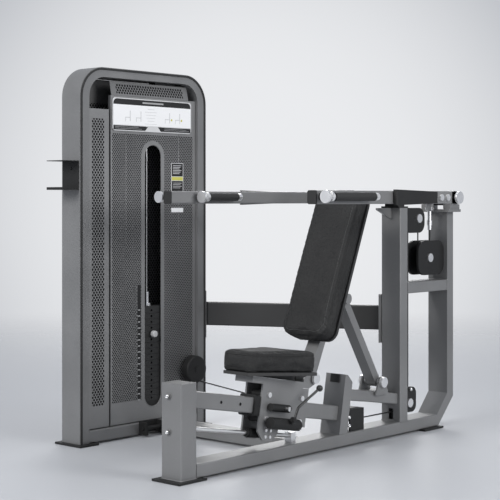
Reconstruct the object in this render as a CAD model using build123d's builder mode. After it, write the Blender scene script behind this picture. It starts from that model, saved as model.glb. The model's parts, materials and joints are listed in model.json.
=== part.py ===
"""Selectorised multi-press machine: weight tower, sliding seat carriage, reclining back, press arms.

Frame: X to the seated user's left, Y rearward, Z up, millimetres.
The origin is under the middle of the front post, on the floor.
"""
from build123d import *
from math import atan2, cos, radians, sin, sqrt, tan
import os

os.makedirs("parts", exist_ok=True)

# ---------------------------------------------------------------- driving dimensions
WALL = 3.0
BEAM_HALF = 50.0
FOOT_T = 8.0
RAIL_TOP = 58.0
ANCHOR_R = 6.5

FRONT_POST_D = 80.0
FRONT_POST_TOP = 350.0
COLUMN_Y0, COLUMN_Y1, COLUMN_TOP = 1315.0, 1371.0, 966.0
REAR_Y0, REAR_Y1, REAR_TOP = 1669.0, 1716.0, 947.0
BASE_END = 1590.0

TILT = 10.0
RAIL_ORIGIN = (0, FRONT_POST_D, 287.0)
RAIL_LENGTH = 845.0
RAIL_W, RAIL_H = 60.0, 60.0

TOWER_X0, TOWER_X1 = -872.0, -760.0
TOWER_Y0, TOWER_Y1 = 234.0, 966.0
TOWER_TOP = 1547.0
TOWER_TUBE = 50.0
TOWER_R = 125.0
STACK_X, STACK_Y = -814.0, 656.0
PLATE_T, PLATE_PITCH = 24.0, 25.0
STACK_BASE = 140.0
ROD_R, ROD_SPAN = 9.0, 100.0
STATIC_PLATES, LIFTED_PLATES = 11, 5

ARM_X, ARM_Z = 365.0, 1010.0
ARM_W, ARM_H = 40.0, 50.0
ARM_FRONT, ARM_REAR = 345.0, 1229.0
PIVOT_Y, PIVOT_Z = 1690.0, 1008.0
GRIP_R, GRIP_CAP_R = 16.0, 23.0
OUTER_GRIP_X, INNER_GRIP_X = 421.0, 309.0

HINGE_Y, HINGE_Z = 744.0, 298.0
LINK_TOP = (965.0, 600.0)
LINK_BASE = (1190.0, 240.0)
BACK_LEAN = 22.4
CABLE_R = 3.0

# ---------------------------------------------------------------- derived frames
rail_c, rail_s = cos(radians(TILT)), sin(radians(TILT))
lean_c, lean_s = cos(radians(BACK_LEAN)), sin(radians(BACK_LEAN))
# along the rail: local x runs rearward and down the rail, local y is square to it, upward
rail_side = Plane(origin=RAIL_ORIGIN, x_dir=(0, rail_c, -rail_s), z_dir=(1, 0, 0))
# across the rail: local z runs down the rail
rail_end = Plane(origin=RAIL_ORIGIN, x_dir=(1, 0, 0), z_dir=(0, rail_c, -rail_s))
# side view: local x is Y and local y is Z
side = Plane.YZ


def across(y):
    """Plane square to Y at y, extruding rearward."""
    return Plane(origin=(0, y, 0), x_dir=(1, 0, 0), z_dir=(0, 1, 0))


def tube_section(width, height, corner=6.0):
    """Rectangular tube section on the active sketch."""
    RectangleRounded(width, height, corner)
    RectangleRounded(width - 2 * WALL, height - 2 * WALL, corner - WALL, mode=Mode.SUBTRACT)


def block(x0, x1, y0, y1, z0, z1, mode=Mode.ADD):
    """Box given by its six faces."""
    with Locations(((x0 + x1) / 2, (y0 + y1) / 2, (z0 + z1) / 2)):
        Box(x1 - x0, y1 - y0, z1 - z0, mode=mode)


def disc(plane, radius, length, bore=0.0):
    """Round bar or washer on a plane, extruded along the plane's normal."""
    with BuildSketch(plane) as face:
        Circle(radius)
        if bore:
            Circle(bore, mode=Mode.SUBTRACT)
    extrude(face.sketch, amount=length)


def x_plane(x, y, z):
    """Plane facing +X at a point."""
    return Plane(origin=(x, y, z), x_dir=(0, 1, 0), z_dir=(1, 0, 0))


def y_plane(x, y, z):
    """Plane facing +Y at a point."""
    return Plane(origin=(x, y, z), x_dir=(1, 0, 0), z_dir=(0, 1, 0))


def z_plane(x, y, z):
    """Plane facing +Z at a point."""
    return Plane(origin=(x, y, z))


# ================================================================ floor frame
with BuildPart() as base_rail:
    with BuildSketch(across(FRONT_POST_D)):
        with Locations((0, -(FOOT_T + RAIL_TOP) / 2)):
            tube_section(2 * BEAM_HALF, RAIL_TOP - FOOT_T)
    extrude(amount=BASE_END - FRONT_POST_D)
base_rail.part.label = "base_rail"
export_step(base_rail.part, "parts/base_rail.step")

with BuildPart() as front_post:
    with BuildSketch(z_plane(0, FRONT_POST_D / 2, FOOT_T)):
        tube_section(2 * BEAM_HALF, FRONT_POST_D)
    extrude(amount=FRONT_POST_TOP - FOOT_T)
    block(-BEAM_HALF + WALL, BEAM_HALF - WALL, WALL, FRONT_POST_D - WALL, FRONT_POST_TOP - 4, FRONT_POST_TOP)
front_post.part.label = "front_post"
export_step(front_post.part, "parts/front_post.step")

# rear column with its mitred corner down to the base rail
with BuildPart() as rear_column:
    with BuildSketch(side):
        with BuildLine():
            Polyline(
                (BASE_END, FOOT_T), (BASE_END + 8, FOOT_T), (REAR_Y1, 128), (REAR_Y1, REAR_TOP),
                (REAR_Y0, REAR_TOP), (REAR_Y0, 145), (BASE_END, RAIL_TOP), close=True,
            )
        make_face()
    extrude(amount=BEAM_HALF, both=True)
    with BuildSketch(side):
        with BuildLine():
            Polyline(
                (BASE_END, FOOT_T + WALL), (BASE_END + 7, FOOT_T + WALL), (REAR_Y1 - WALL, 129.5),
                (REAR_Y1 - WALL, REAR_TOP - WALL), (REAR_Y0 + WALL, REAR_TOP - WALL),
                (REAR_Y0 + WALL, 143.5), (BASE_END, RAIL_TOP - WALL), close=True,
            )
        make_face()
    extrude(amount=BEAM_HALF - WALL, both=True, mode=Mode.SUBTRACT)
rear_column.part.label = "rear_column"
export_step(rear_column.part, "parts/rear_column.step")

# main column, with the cable window low in its front and rear walls
WINDOW_Z0, WINDOW_Z1 = 66.0, 112.0
with BuildPart() as main_column:
    with BuildSketch(z_plane(0, (COLUMN_Y0 + COLUMN_Y1) / 2, RAIL_TOP)):
        tube_section(2 * BEAM_HALF, COLUMN_Y1 - COLUMN_Y0)
    extrude(amount=COLUMN_TOP - RAIL_TOP)
    block(-12, 12, COLUMN_Y0 - 5, COLUMN_Y1 + 5, WINDOW_Z0, WINDOW_Z1, mode=Mode.SUBTRACT)
main_column.part.label = "main_column"
export_step(main_column.part, "parts/main_column.step")

with BuildPart() as frame_crossbar:
    with BuildSketch(across(COLUMN_Y1)):
        with Locations((0, -624)):
            tube_section(2 * BEAM_HALF, 48)
    extrude(amount=REAR_Y0 - COLUMN_Y1)
    # way through for the cable behind the main column
    block(-10, 10, 1427, 1451, 590, 660, mode=Mode.SUBTRACT)
frame_crossbar.part.label = "frame_crossbar"
export_step(frame_crossbar.part, "parts/frame_crossbar.step")

# beam from the tower's rear upright to the main column
MID_A = Vector(-815, TOWER_Y1 + 8, 494)
MID_B = Vector(-BEAM_HALF - 8, 1343, 494)
mid_dir = (MID_B - MID_A).normalized()
with BuildPart() as mid_beam:
    with BuildSketch(Plane(origin=MID_A - mid_dir * 60, x_dir=(0, 0, 1), z_dir=mid_dir)):
        tube_section(104, 40)
    extrude(amount=(MID_B - MID_A).length + 120)
    block(-900, -700, TOWER_Y1 - 200, TOWER_Y1 + 8, 400, 600, mode=Mode.SUBTRACT)
    block(-BEAM_HALF - 8, 60, 1200, 1450, 400, 600, mode=Mode.SUBTRACT)
mid_beam.part.label = "mid_beam"
export_step(mid_beam.part, "parts/mid_beam.step")



# floor plates with anchor holes: front post, rear end, and both tower legs
with BuildPart() as foot_plates:
    block(-70, 70, -28, 112, 0, FOOT_T)
    block(-70, 70, 1470, 1610, 0, FOOT_T)
    block(TOWER_X0 - 24, TOWER_X1 + 24, TOWER_Y0 - 18, TOWER_Y0 + 82, 0, FOOT_T)
    block(TOWER_X0 - 24, TOWER_X1 + 24, TOWER_Y1 - 82, TOWER_Y1 + 18, 0, FOOT_T)
    with Locations((-60, 98, 0), (60, 98, 0), (-60, 1484, 0), (60, 1484, 0)):
        Hole(ANCHOR_R / 2 + 2)
    for y in (TOWER_Y0 + 32, TOWER_Y1 - 32):
        with Locations((TOWER_X0 - 12, y, 0), (TOWER_X1 + 12, y, 0)):
            Hole(ANCHOR_R)
foot_plates.part.label = "foot_plates"
export_step(foot_plates.part, "parts/foot_plates.step")

# ================================================================ weight tower
def arch(y0, y1, top, radius):
    """Inverted-U outline on the active sketch, standing on the floor plates."""
    with BuildLine() as outline:
        Polyline((y0, top - radius), (y0, FOOT_T), (y1, FOOT_T), (y1, top - radius))
        RadiusArc((y0, top - radius), (y0 + radius, top), radius)
        Line((y0 + radius, top), (y1 - radius, top))
        RadiusArc((y1 - radius, top), (y1, top - radius), radius)
    make_face(outline.line)


INNER_Y0, INNER_Y1 = TOWER_Y0 + TOWER_TUBE, TOWER_Y1 - TOWER_TUBE
INNER_TOP, INNER_R = TOWER_TOP - 40, TOWER_R - 42
tower_back = Plane(origin=(TOWER_X0, 0, 0), x_dir=(0, 1, 0), z_dir=(1, 0, 0))
with BuildPart() as tower_frame:
    with BuildSketch(tower_back):
        arch(TOWER_Y0, TOWER_Y1, TOWER_TOP, TOWER_R)
    extrude(amount=TOWER_X1 - TOWER_X0)
    with BuildSketch(tower_back):
        arch(INNER_Y0, INNER_Y1, INNER_TOP, INNER_R)
    extrude(amount=TOWER_X1 - TOWER_X0, mode=Mode.SUBTRACT)
    # the tube's hollow, open at its feet
    with BuildSketch(tower_back.offset(WALL)) as hollow:
        arch(TOWER_Y0 + WALL, TOWER_Y1 - WALL, TOWER_TOP - WALL, TOWER_R - WALL)
        with BuildSketch(mode=Mode.PRIVATE) as core:
            arch(INNER_Y0 - WALL, INNER_Y1 + WALL, INNER_TOP + WALL, INNER_R + WALL)
        add(core.sketch, mode=Mode.SUBTRACT)
    extrude(amount=TOWER_X1 - TOWER_X0 - 2 * WALL, mode=Mode.SUBTRACT)
tower_frame.part.label = "tower_frame"
export_step(tower_frame.part, "parts/tower_frame.step")

# black edge trim round the front outer corner of the tower tube
with BuildPart() as tower_trim:
    with BuildSketch(tower_back.offset(TOWER_X1 - TOWER_X0)):
        arch(TOWER_Y0 + 3, TOWER_Y1 - 3, TOWER_TOP - 3, TOWER_R - 3)
        with BuildSketch(mode=Mode.PRIVATE) as trim_core:
            arch(TOWER_Y0 + 11, TOWER_Y1 - 11, TOWER_TOP - 11, TOWER_R - 11)
        add(trim_core.sketch, mode=Mode.SUBTRACT)
    extrude(amount=4)
tower_trim.part.label = "tower_trim"
export_step(tower_trim.part, "parts/tower_trim.step")

# tube under the tower, and the cross tube from it to the base rail
with BuildPart() as floor_tubes:
    with BuildSketch(x_plane(TOWER_X1 - 2, 720, (FOOT_T + RAIL_TOP) / 2)):
        tube_section(80, RAIL_TOP - FOOT_T)
    extrude(amount=-BEAM_HALF - TOWER_X1 + 2)
    with BuildSketch(across(INNER_Y0)):
        with Locations((STACK_X, -(FOOT_T + RAIL_TOP) / 2)):
            tube_section(104, RAIL_TOP - FOOT_T)
    extrude(amount=INNER_Y1 - INNER_Y0)
floor_tubes.part.label = "floor_tubes"
export_step(floor_tubes.part, "parts/floor_tubes.step")

# sheet-metal fronts: a narrow strip beside the main panel, which has the weight slot
PANEL_X, PANEL_T = -775.0, 2.0
PANEL_Z0, PANEL_Z1, STRIP_Z1 = 62.0, 1436.0, 1376.0
MAIN_Y0, MAIN_Y1 = 414.0, INNER_Y1 - 1
SLOT_W, SLOT_Z0, SLOT_Z1 = 96.0, 118.0, 1234.0
panel_plane = Plane(origin=(PANEL_X, 0, 0), x_dir=(0, 1, 0), z_dir=(1, 0, 0))

with BuildPart() as front_panels:
    block(PANEL_X - PANEL_T, PANEL_X, INNER_Y0 + 1, 404, PANEL_Z0, STRIP_Z1)
    block(PANEL_X - 16, PANEL_X, 402, 404, PANEL_Z0, STRIP_Z1)
    with BuildSketch(panel_plane):
        with Locations(((MAIN_Y0 + MAIN_Y1) / 2, (PANEL_Z0 + PANEL_Z1) / 2)):
            Rectangle(MAIN_Y1 - MAIN_Y0, PANEL_Z1 - PANEL_Z0)
        with Locations((STACK_Y, (SLOT_Z0 + SLOT_Z1) / 2)):
            SlotOverall(SLOT_Z1 - SLOT_Z0, SLOT_W, rotation=90, mode=Mode.SUBTRACT)
    extrude(amount=-PANEL_T)
    # folded edges
    block(PANEL_X - 16, PANEL_X, MAIN_Y0, MAIN_Y0 + PANEL_T, PANEL_Z0, PANEL_Z1)
    block(PANEL_X - 16, PANEL_X, MAIN_Y1 - PANEL_T, MAIN_Y1, PANEL_Z0, PANEL_Z1)
front_panels.part.label = "front_panels"
export_step(front_panels.part, "parts/front_panels.step")

# sloping perforated lid between the fronts and the arch
DECK_TOP_Z = INNER_TOP - 12
DECK_Y0, DECK_Y1 = MAIN_Y0 + 4, INNER_Y1 - 44
with BuildPart() as top_deck:
    with BuildSketch(Plane.XZ.offset(-DECK_Y0)):
        with BuildLine():
            Polyline(
                (PANEL_X, PANEL_Z1 + 1), (PANEL_X - 13, DECK_TOP_Z), (PANEL_X - 15.5, DECK_TOP_Z),
                (PANEL_X - 2.5, PANEL_Z1 + 1), close=True,
            )
        make_face()
    extrude(amount=-(DECK_Y1 - DECK_Y0))
top_deck.part.label = "top_deck"
export_step(top_deck.part, "parts/top_deck.step")

with BuildPart() as rear_panel:
    with BuildSketch(tower_back.offset(5)):
        arch(INNER_Y0 + 1, INNER_Y1 - 1, INNER_TOP - 1, INNER_R - 1)
    extrude(amount=-2)
    block(TOWER_X0, TOWER_X1, INNER_Y0 - 5, INNER_Y1 + 5, 0, PANEL_Z0, mode=Mode.SUBTRACT)
rear_panel.part.label = "rear_panel"
export_step(rear_panel.part, "parts/rear_panel.step")

# instruction plate, gently tipped back at its top
PLACARD_Y0, PLACARD_Y1, PLACARD_Z0, PLACARD_Z1 = 420.0, 884.0, 1290.0, 1428.0


# open bracket of two shelves on the tower's front leg
with BuildPart() as accessory_holder:
    block(TOWER_X0 + 6, TOWER_X1 - 6, TOWER_Y0 - 3, TOWER_Y0, 1041, 1160)
    block(TOWER_X0 + 6, TOWER_X1 - 6, TOWER_Y0 - 86, TOWER_Y0 - 3, 1157, 1160)
    block(TOWER_X0 + 6, TOWER_X1 - 6, TOWER_Y0 - 86, TOWER_Y0 - 3, 1041, 1044)
    block(TOWER_X0 + 6, TOWER_X1 - 6, TOWER_Y0 - 86, TOWER_Y0 - 83, 1044, 1052)
    disc(y_plane(STACK_X, TOWER_Y0 - 6, 1128), 6, 3)
accessory_holder.part.label = "accessory_holder"
export_step(accessory_holder.part, "parts/accessory_holder.step")

# ================================================================ weight stack
STACK_W, STACK_D = 240.0, 62.0
STEM_R, STEM_BORE, ROD_BORE = 11.0, 12.0, 9.6
STEM_CABLE_BORE, STACK_LIFT = 4.5, 125.0
PIN_R = 4.5
TOWER_WHEEL_Z = INNER_TOP - 62
WHEEL_R = 40.0
WHEEL_Y = (STACK_Y + WHEEL_R + 4, 850.0)
ROD_TOP = 1385.0
rod_places = [(STACK_X, STACK_Y - ROD_SPAN), (STACK_X, STACK_Y + ROD_SPAN)]
with BuildPart() as guide_rods:
    for x, y in rod_places:
        disc(z_plane(x, y, RAIL_TOP), ROD_R, ROD_TOP - RAIL_TOP)
guide_rods.part.label = "guide_rods"
export_step(guide_rods.part, "parts/guide_rods.step")

with BuildPart() as stack_bumpers:
    for x, y in rod_places:
        disc(z_plane(x, y, RAIL_TOP), 20, 52, bore=ROD_BORE)
    block(STACK_X - 30, STACK_X + 30, STACK_Y - 118, STACK_Y + 118, RAIL_TOP + 52, STACK_BASE)
    for x, y in rod_places:
        with Locations((x, y, STACK_BASE)):
            Hole(ROD_BORE)
    with Locations((STACK_X, STACK_Y, STACK_BASE)):
        Hole(STEM_BORE)
stack_bumpers.part.label = "stack_bumpers"
export_step(stack_bumpers.part, "parts/stack_bumpers.step")


def weight_plate(z, thickness=PLATE_T):
    """One stack plate at height z: rod holes, stem hole and the pin hole in its front."""
    with BuildSketch(z_plane(STACK_X, STACK_Y, z)) as outline:
        RectangleRounded(STACK_D, STACK_W, 5)
        with Locations((0, -ROD_SPAN), (0, ROD_SPAN)):
            Circle(ROD_BORE, mode=Mode.SUBTRACT)
        Circle(STEM_BORE, mode=Mode.SUBTRACT)
    extrude(outline.sketch, amount=thickness)
    with BuildSketch(x_plane(STACK_X, STACK_Y, z + PLATE_T / 2)) as pin_hole:
        Circle(PIN_R + 0.6)
    extrude(pin_hole.sketch, amount=STACK_D, both=True, mode=Mode.SUBTRACT)


with BuildPart() as weight_plates:
    for i in range(STATIC_PLATES):
        weight_plate(STACK_BASE + i * PLATE_PITCH)
weight_plates.part.label = "weight_plates"
export_step(weight_plates.part, "parts/weight_plates.step")

LIFT_BASE = STACK_BASE + STATIC_PLATES * PLATE_PITCH
LIFT_TOP = LIFT_BASE + LIFTED_PLATES * PLATE_PITCH + 6
with BuildPart() as lifted_plates:
    for i in range(LIFTED_PLATES - 1):
        weight_plate(LIFT_BASE + i * PLATE_PITCH)
    weight_plate(LIFT_BASE + (LIFTED_PLATES - 1) * PLATE_PITCH, PLATE_T + 7)
lifted_plates.part.label = "lifted_plates"
export_step(lifted_plates.part, "parts/lifted_plates.step")

# stem through the stack, hung from the cable by its threaded eye
STEM_TOP = LIFT_TOP + 60
PIN_Z = LIFT_BASE + PLATE_T / 2
with BuildPart() as selector_stem:
    disc(z_plane(STACK_X, STACK_Y, STACK_BASE + 4), STEM_R, STEM_TOP - STACK_BASE - 4)
    disc(z_plane(STACK_X, STACK_Y, LIFT_TOP + 0.3), 20, 12)
    for i in range(STATIC_PLATES + LIFTED_PLATES):
        disc_z = STACK_BASE + i * PLATE_PITCH + PLATE_T / 2
        with BuildSketch(x_plane(STACK_X - 20, STACK_Y, disc_z)) as pin_way:
            Circle(PIN_R + 0.6)
        extrude(pin_way.sketch, amount=40, mode=Mode.SUBTRACT)
    # the cable's end lies free in this blind bore, so the stem can rise along it
    with BuildSketch(z_plane(STACK_X, STACK_Y, STEM_TOP)) as cable_bore:
        Circle(STEM_CABLE_BORE)
    extrude(cable_bore.sketch, amount=-(STACK_LIFT + 20), mode=Mode.SUBTRACT)
selector_stem.part.label = "selector_stem"
export_step(selector_stem.part, "parts/selector_stem.step")

PIN_HEAD_X = STACK_X + STACK_D / 2 + 2
with BuildPart() as selector_pin:
    disc(x_plane(STACK_X - 24, STACK_Y, PIN_Z), PIN_R, PIN_HEAD_X - STACK_X + 24)
    disc(x_plane(PIN_HEAD_X, STACK_Y, PIN_Z), 9, 8)
    disc(x_plane(PIN_HEAD_X + 8, STACK_Y, PIN_Z), 14, 16)
    fillet(selector_pin.edges().sort_by(Axis.X)[-1], radius=4)
selector_pin.part.label = "selector_pin"
export_step(selector_pin.part, "parts/selector_pin.step")

# instruction plate tipped over the main panel, two small labels and the weight scale
with BuildPart() as instruction_plates:
    with BuildSketch(panel_plane.offset(3)):
        with Locations(((PLACARD_Y0 + PLACARD_Y1) / 2, (PLACARD_Z0 + PLACARD_Z1) / 2)):
            RectangleRounded(PLACARD_Y1 - PLACARD_Y0, PLACARD_Z1 - PLACARD_Z0, 14)
    extrude(amount=2.5)
    for y in (PLACARD_Y0 + 30, PLACARD_Y1 - 30):
        for z in (PLACARD_Z0 + 14, PANEL_Z1 - 14):
            disc(x_plane(PANEL_X, y, z), 5, 3)
    block(PANEL_X, PANEL_X + 0.8, 766, 840, 1035, 1161)
    block(PANEL_X, PANEL_X + 0.8, 766, 840, 946, 966)
    block(PANEL_X, PANEL_X + 0.8, STACK_Y - 92, STACK_Y - 72, 150, 640)
instruction_plates.part.label = "instruction_plates"
export_step(instruction_plates.part, "parts/instruction_plates.step")

# ================================================================ seat rail and rear post
with BuildPart() as seat_rail:
    with BuildSketch(rail_end.offset(6)):
        tube_section(RAIL_W, RAIL_H)
    extrude(amount=RAIL_LENGTH - 6)
    for u in (150, 255, 360, 465, 570):
        with BuildSketch(rail_side):
            with Locations((u, 0)):
                Circle(6)
        extrude(amount=RAIL_W, both=True, mode=Mode.SUBTRACT)
    block(-60, 60, 0, FRONT_POST_D, 200, 360, mode=Mode.SUBTRACT)
seat_rail.part.label = "seat_rail"
export_step(seat_rail.part, "parts/seat_rail.step")

POST_U0, POST_U1 = RAIL_LENGTH, RAIL_LENGTH + 50
with BuildPart() as rear_post:
    with BuildSketch(rail_side):
        with BuildLine():
            Polyline((POST_U0, -110), (POST_U0, 158), (POST_U0 + 14, 158), (POST_U1, 132), (POST_U1, -110),
                     close=True)
        make_face()
    extrude(amount=BEAM_HALF, both=True)
    with BuildSketch(rail_side):
        with BuildLine():
            Polyline((POST_U0 + WALL, -120), (POST_U0 + WALL, 155), (POST_U0 + 13, 155),
                     (POST_U1 - WALL, 130), (POST_U1 - WALL, -120), close=True)
        make_face()
    extrude(amount=BEAM_HALF - WALL, both=True, mode=Mode.SUBTRACT)
    block(-80, 80, 850, 1050, -200, RAIL_TOP, mode=Mode.SUBTRACT)
rear_post.part.label = "rear_post"
export_step(rear_post.part, "parts/rear_post.step")


# brace from the rear post to the main column, square to the rear post
BRACE_Y0, BRACE_Z0 = 1002.0, 205.0

# lower pivot of the recline link: two ears on the brace, and the shaft through them
EAR_X, EAR_T = 40.0, 8.0
link_base_plane = x_plane(0, *LINK_BASE)



# bumper on the rear post, and the rest for the press lever on the main column
with BuildPart() as rubber_stops:
    with BuildSketch(rail_side):
        with Locations((POST_U0 - 3, 140)):
            Rectangle(6, 34)
    extrude(amount=22, both=True)
    block(-46, 46, COLUMN_Y0 - 6, COLUMN_Y1 + 6, COLUMN_TOP, COLUMN_TOP + 7)
    block(-34, 34, COLUMN_Y0 + 4, COLUMN_Y1 - 4, COLUMN_TOP + 7, ARM_Z - ARM_H / 2 - 0.3)
rubber_stops.part.label = "rubber_stops"
export_step(rubber_stops.part, "parts/rubber_stops.step")

# brace to the main column, with the two ears of the recline link's lower pivot
with BuildPart() as brace:
    with BuildSketch(side):
        with BuildLine():
            Polyline((LINK_BASE[0] - 46, LINK_BASE[1] - 50), (LINK_BASE[0] - 24, LINK_BASE[1]),
                     (LINK_BASE[0] + 24, LINK_BASE[1]), (LINK_BASE[0] + 46, LINK_BASE[1] - 64), close=True)
        make_face()
        with Locations(LINK_BASE):
            Circle(24)
            Circle(12.3, mode=Mode.SUBTRACT)
    extrude(amount=EAR_X + EAR_T, both=True)
    block(-EAR_X, EAR_X, 1100, 1300, 120, 300, mode=Mode.SUBTRACT)
    block(-60, 60, 1100, 1300, 100, 188, mode=Mode.SUBTRACT)
    block(-EAR_X - EAR_T, EAR_X + EAR_T, 1150, 1230, 200.5, 204.5)
    with BuildSketch(Plane(origin=(0, BRACE_Y0 - 40, BRACE_Z0 + 40 * tan(radians(9))), x_dir=(1, 0, 0),
                           z_dir=(0, cos(radians(9)), -sin(radians(9))))):
        tube_section(70, 46)
    extrude(amount=460)
    block(-60, 60, COLUMN_Y0, 1500, 0, 400, mode=Mode.SUBTRACT)
    with BuildSketch(rail_side):
        with Locations((POST_U1 - 100, 0)):
            Rectangle(200, 400)
    extrude(amount=80, both=True, mode=Mode.SUBTRACT)
brace.part.label = "brace"
export_step(brace.part, "parts/brace.step")

# ================================================================ cable run and pulleys
PULLEYS = {
    "head_pulley": (1477.0, 920.0, 37.0),
    "lower_head_pulley": (1560.0, 747.0, 44.0),
    "foot_pulley": (1408.0, 128.0, 30.0),
}
GROOVE = 4.0
SHAFT_R = 6.0


def pulley(centre, radius, width=20.0):
    """Grooved wheel about X; the cable's centreline runs at the given radius."""
    y, z = centre
    with BuildSketch(Plane(origin=(0, y, z), x_dir=(1, 0, 0), z_dir=(0, 1, 0))) as section:
        with Locations((0, -(radius + SHAFT_R) / 2)):
            Rectangle(width, radius + GROOVE - SHAFT_R + 2)
        with Locations((0, -radius - 1)):
            Circle(CABLE_R + 0.6, mode=Mode.SUBTRACT)
        with Locations((0, -radius - 6)):
            Rectangle(2 * CABLE_R + 3, 10, mode=Mode.SUBTRACT)
        Rectangle(80, 2 * (SHAFT_R + 0.05), mode=Mode.SUBTRACT)
    revolve(section.sketch, axis=Axis((0, y, z), (1, 0, 0)))


with BuildPart() as head_pulley:
    pulley(PULLEYS["head_pulley"][:2], PULLEYS["head_pulley"][2])
head_pulley.part.label = "head_pulley"
export_step(head_pulley.part, "parts/head_pulley.step")

with BuildPart() as lower_head_pulley:
    pulley(PULLEYS["lower_head_pulley"][:2], PULLEYS["lower_head_pulley"][2])
lower_head_pulley.part.label = "lower_head_pulley"
export_step(lower_head_pulley.part, "parts/lower_head_pulley.step")

with BuildPart() as foot_pulley:
    pulley(PULLEYS["foot_pulley"][:2], PULLEYS["foot_pulley"][2])
foot_pulley.part.label = "foot_pulley"
export_step(foot_pulley.part, "parts/foot_pulley.step")


COVER_IN, COVER_OUT = 22.0, 32.0


def cover_shells(y0, y1, z0, z1, corner, bore):
    """Two cover plates either side of a pulley, with their shaft holes."""
    middle = ((y0 + y1) / 2, (z0 + z1) / 2)
    for x in (-COVER_OUT, COVER_IN):
        with BuildSketch(x_plane(x, *middle)) as outline:
            RectangleRounded(y1 - y0, z1 - z0, corner)
            with Locations((bore[0] - middle[0], bore[1] - middle[1])):
                Circle(SHAFT_R + 0.05, mode=Mode.SUBTRACT)
        extrude(outline.sketch, amount=COVER_OUT - COVER_IN)


def pulley_shaft(y, z, half):
    """Pulley bolt: the shaft with a round cap on each end."""
    disc(x_plane(-half, y, z), SHAFT_R, 2 * half)
    disc(x_plane(half, y, z), 19, 6)
    disc(x_plane(-half - 6, y, z), 19, 6)


with BuildPart() as upper_pulley_cover:
    cover_shells(COLUMN_Y1, 1521, 858, COLUMN_TOP, 42, PULLEYS["head_pulley"][:2])
    block(-COVER_OUT, COVER_OUT, COLUMN_Y1, COLUMN_Y1 + 8, 905, 925)
upper_pulley_cover.part.label = "upper_pulley_cover"
export_step(upper_pulley_cover.part, "parts/upper_pulley_cover.step")

with BuildPart() as lower_pulley_cover:
    cover_shells(1474, REAR_Y0, 672, 822, 46, PULLEYS["lower_head_pulley"][:2])
    block(-COVER_OUT, COVER_OUT, REAR_Y0 - 10, REAR_Y0, 720, 774)
lower_pulley_cover.part.label = "lower_pulley_cover"
export_step(lower_pulley_cover.part, "parts/lower_pulley_cover.step")


# pulley bolts and the link's lower shaft, with their round caps
with BuildPart() as frame_shafts:
    disc(x_plane(-EAR_X - EAR_T - 4, *LINK_BASE), 12.2, 2 * (EAR_X + EAR_T + 4))
    for x in (-EAR_X - EAR_T - 12, EAR_X + EAR_T + 0.4):
        disc(x_plane(x, *LINK_BASE), 22, 11.6)
    for y, z, radius in PULLEYS.values():
        pulley_shaft(y, z, COVER_OUT)
frame_shafts.part.label = "frame_shafts"
export_step(frame_shafts.part, "parts/frame_shafts.step")


# tower pulleys: two at the head, one round-covered at the side, on brackets
# tower pulleys on their hanger, and the clevis at the foot of the tower
with BuildPart() as tower_pulley_set:
    for y in WHEEL_Y:
        with BuildSketch(x_plane(STACK_X - 10, y, TOWER_WHEEL_Z)) as wheel:
            Circle(WHEEL_R)
            Circle(SHAFT_R, mode=Mode.SUBTRACT)
        extrude(wheel.sketch, amount=20)
    for x in (STACK_X - 18, STACK_X + 14):
        block(x, x + 4, 690, 862, ROD_TOP + 10, 1500)
    block(STACK_X - 18, STACK_X + 18, 690, 800, 1500, INNER_TOP)
    for y in WHEEL_Y:
        disc(x_plane(STACK_X - 19, y, TOWER_WHEEL_Z), SHAFT_R, 38)
    # bar across the guide rods' tops, with the cable's way through
    block(STACK_X - 18, STACK_X + 18, STACK_Y - 116, 862, ROD_TOP, ROD_TOP + 10)
    with BuildSketch(z_plane(STACK_X, STACK_Y, ROD_TOP - 1)) as cable_way:
        Circle(9)
    extrude(cable_way.sketch, amount=12, mode=Mode.SUBTRACT)
    for y in (562, 660):
        block(TOWER_X1 - 2, TOWER_X1 + 44, y, y + 8, FOOT_T, 62)
    block(TOWER_X1 - 2, TOWER_X1 + 2, 562, 668, FOOT_T + 6, 62)
    disc(y_plane(TOWER_X1 + 24, 556, 36), 8, 118)
tower_pulley_set.part.label = "tower_pulley_set"
export_step(tower_pulley_set.part, "parts/tower_pulley_set.step")


SIDE_COVER = (878.0, 257.0)
TURN_R = 33.0
TURN_CENTRE = (-TURN_R, 1038.0)
# round cover on the tower, guard at the foot pulley, guard box over the cable's turn
with BuildPart() as cable_guards:
    disc(x_plane(PANEL_X, *SIDE_COVER), 36, 16)
    disc(x_plane(PANEL_X + 15.5, *SIDE_COVER), 60, 34)
    fillet(cable_guards.edges().sort_by(Axis.X)[-1], radius=7)
    disc(x_plane(PANEL_X + 49.5, *SIDE_COVER), 14, 3)
    cover_shells(COLUMN_Y1, 1456, 88, 196, 30, PULLEYS["foot_pulley"][:2])
    block(-COVER_OUT, COVER_OUT, COLUMN_Y1, COLUMN_Y1 + 6, 184, 192)
    block(-72, 36, 986, 1078, RAIL_TOP, 146)
    block(-66, 30, 986, 1090, RAIL_TOP, 140, mode=Mode.SUBTRACT)
    block(-80, -20, 986, 1060, 84, 120, mode=Mode.SUBTRACT)
    disc(z_plane(*TURN_CENTRE, 90), TURN_R - 4, 16)
    disc(z_plane(*TURN_CENTRE, RAIL_TOP), 6, 84)
cable_guards.part.label = "cable_guards"
export_step(cable_guards.part, "parts/cable_guards.step")



def cable(points, radii):
    """Steel cable along straight runs joined by tangent arcs."""
    with BuildLine() as route:
        FilletPolyline(*points, radius=radii)
    path = route.wires()[0]
    with BuildSketch(Plane(origin=path @ 0, z_dir=path % 0)) as section:
        Circle(CABLE_R)
    sweep(section.sketch, path=path)
    return path.length


HEAD_Y, HEAD_Z, HEAD_R = PULLEYS["head_pulley"]
LOW_Y, LOW_Z, LOW_R = PULLEYS["lower_head_pulley"]
FOOT_Z, FOOT_R = PULLEYS["foot_pulley"][1:]
CLEAR = 1.0
SWIVEL_Z = 868.0
lengths = {}
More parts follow.
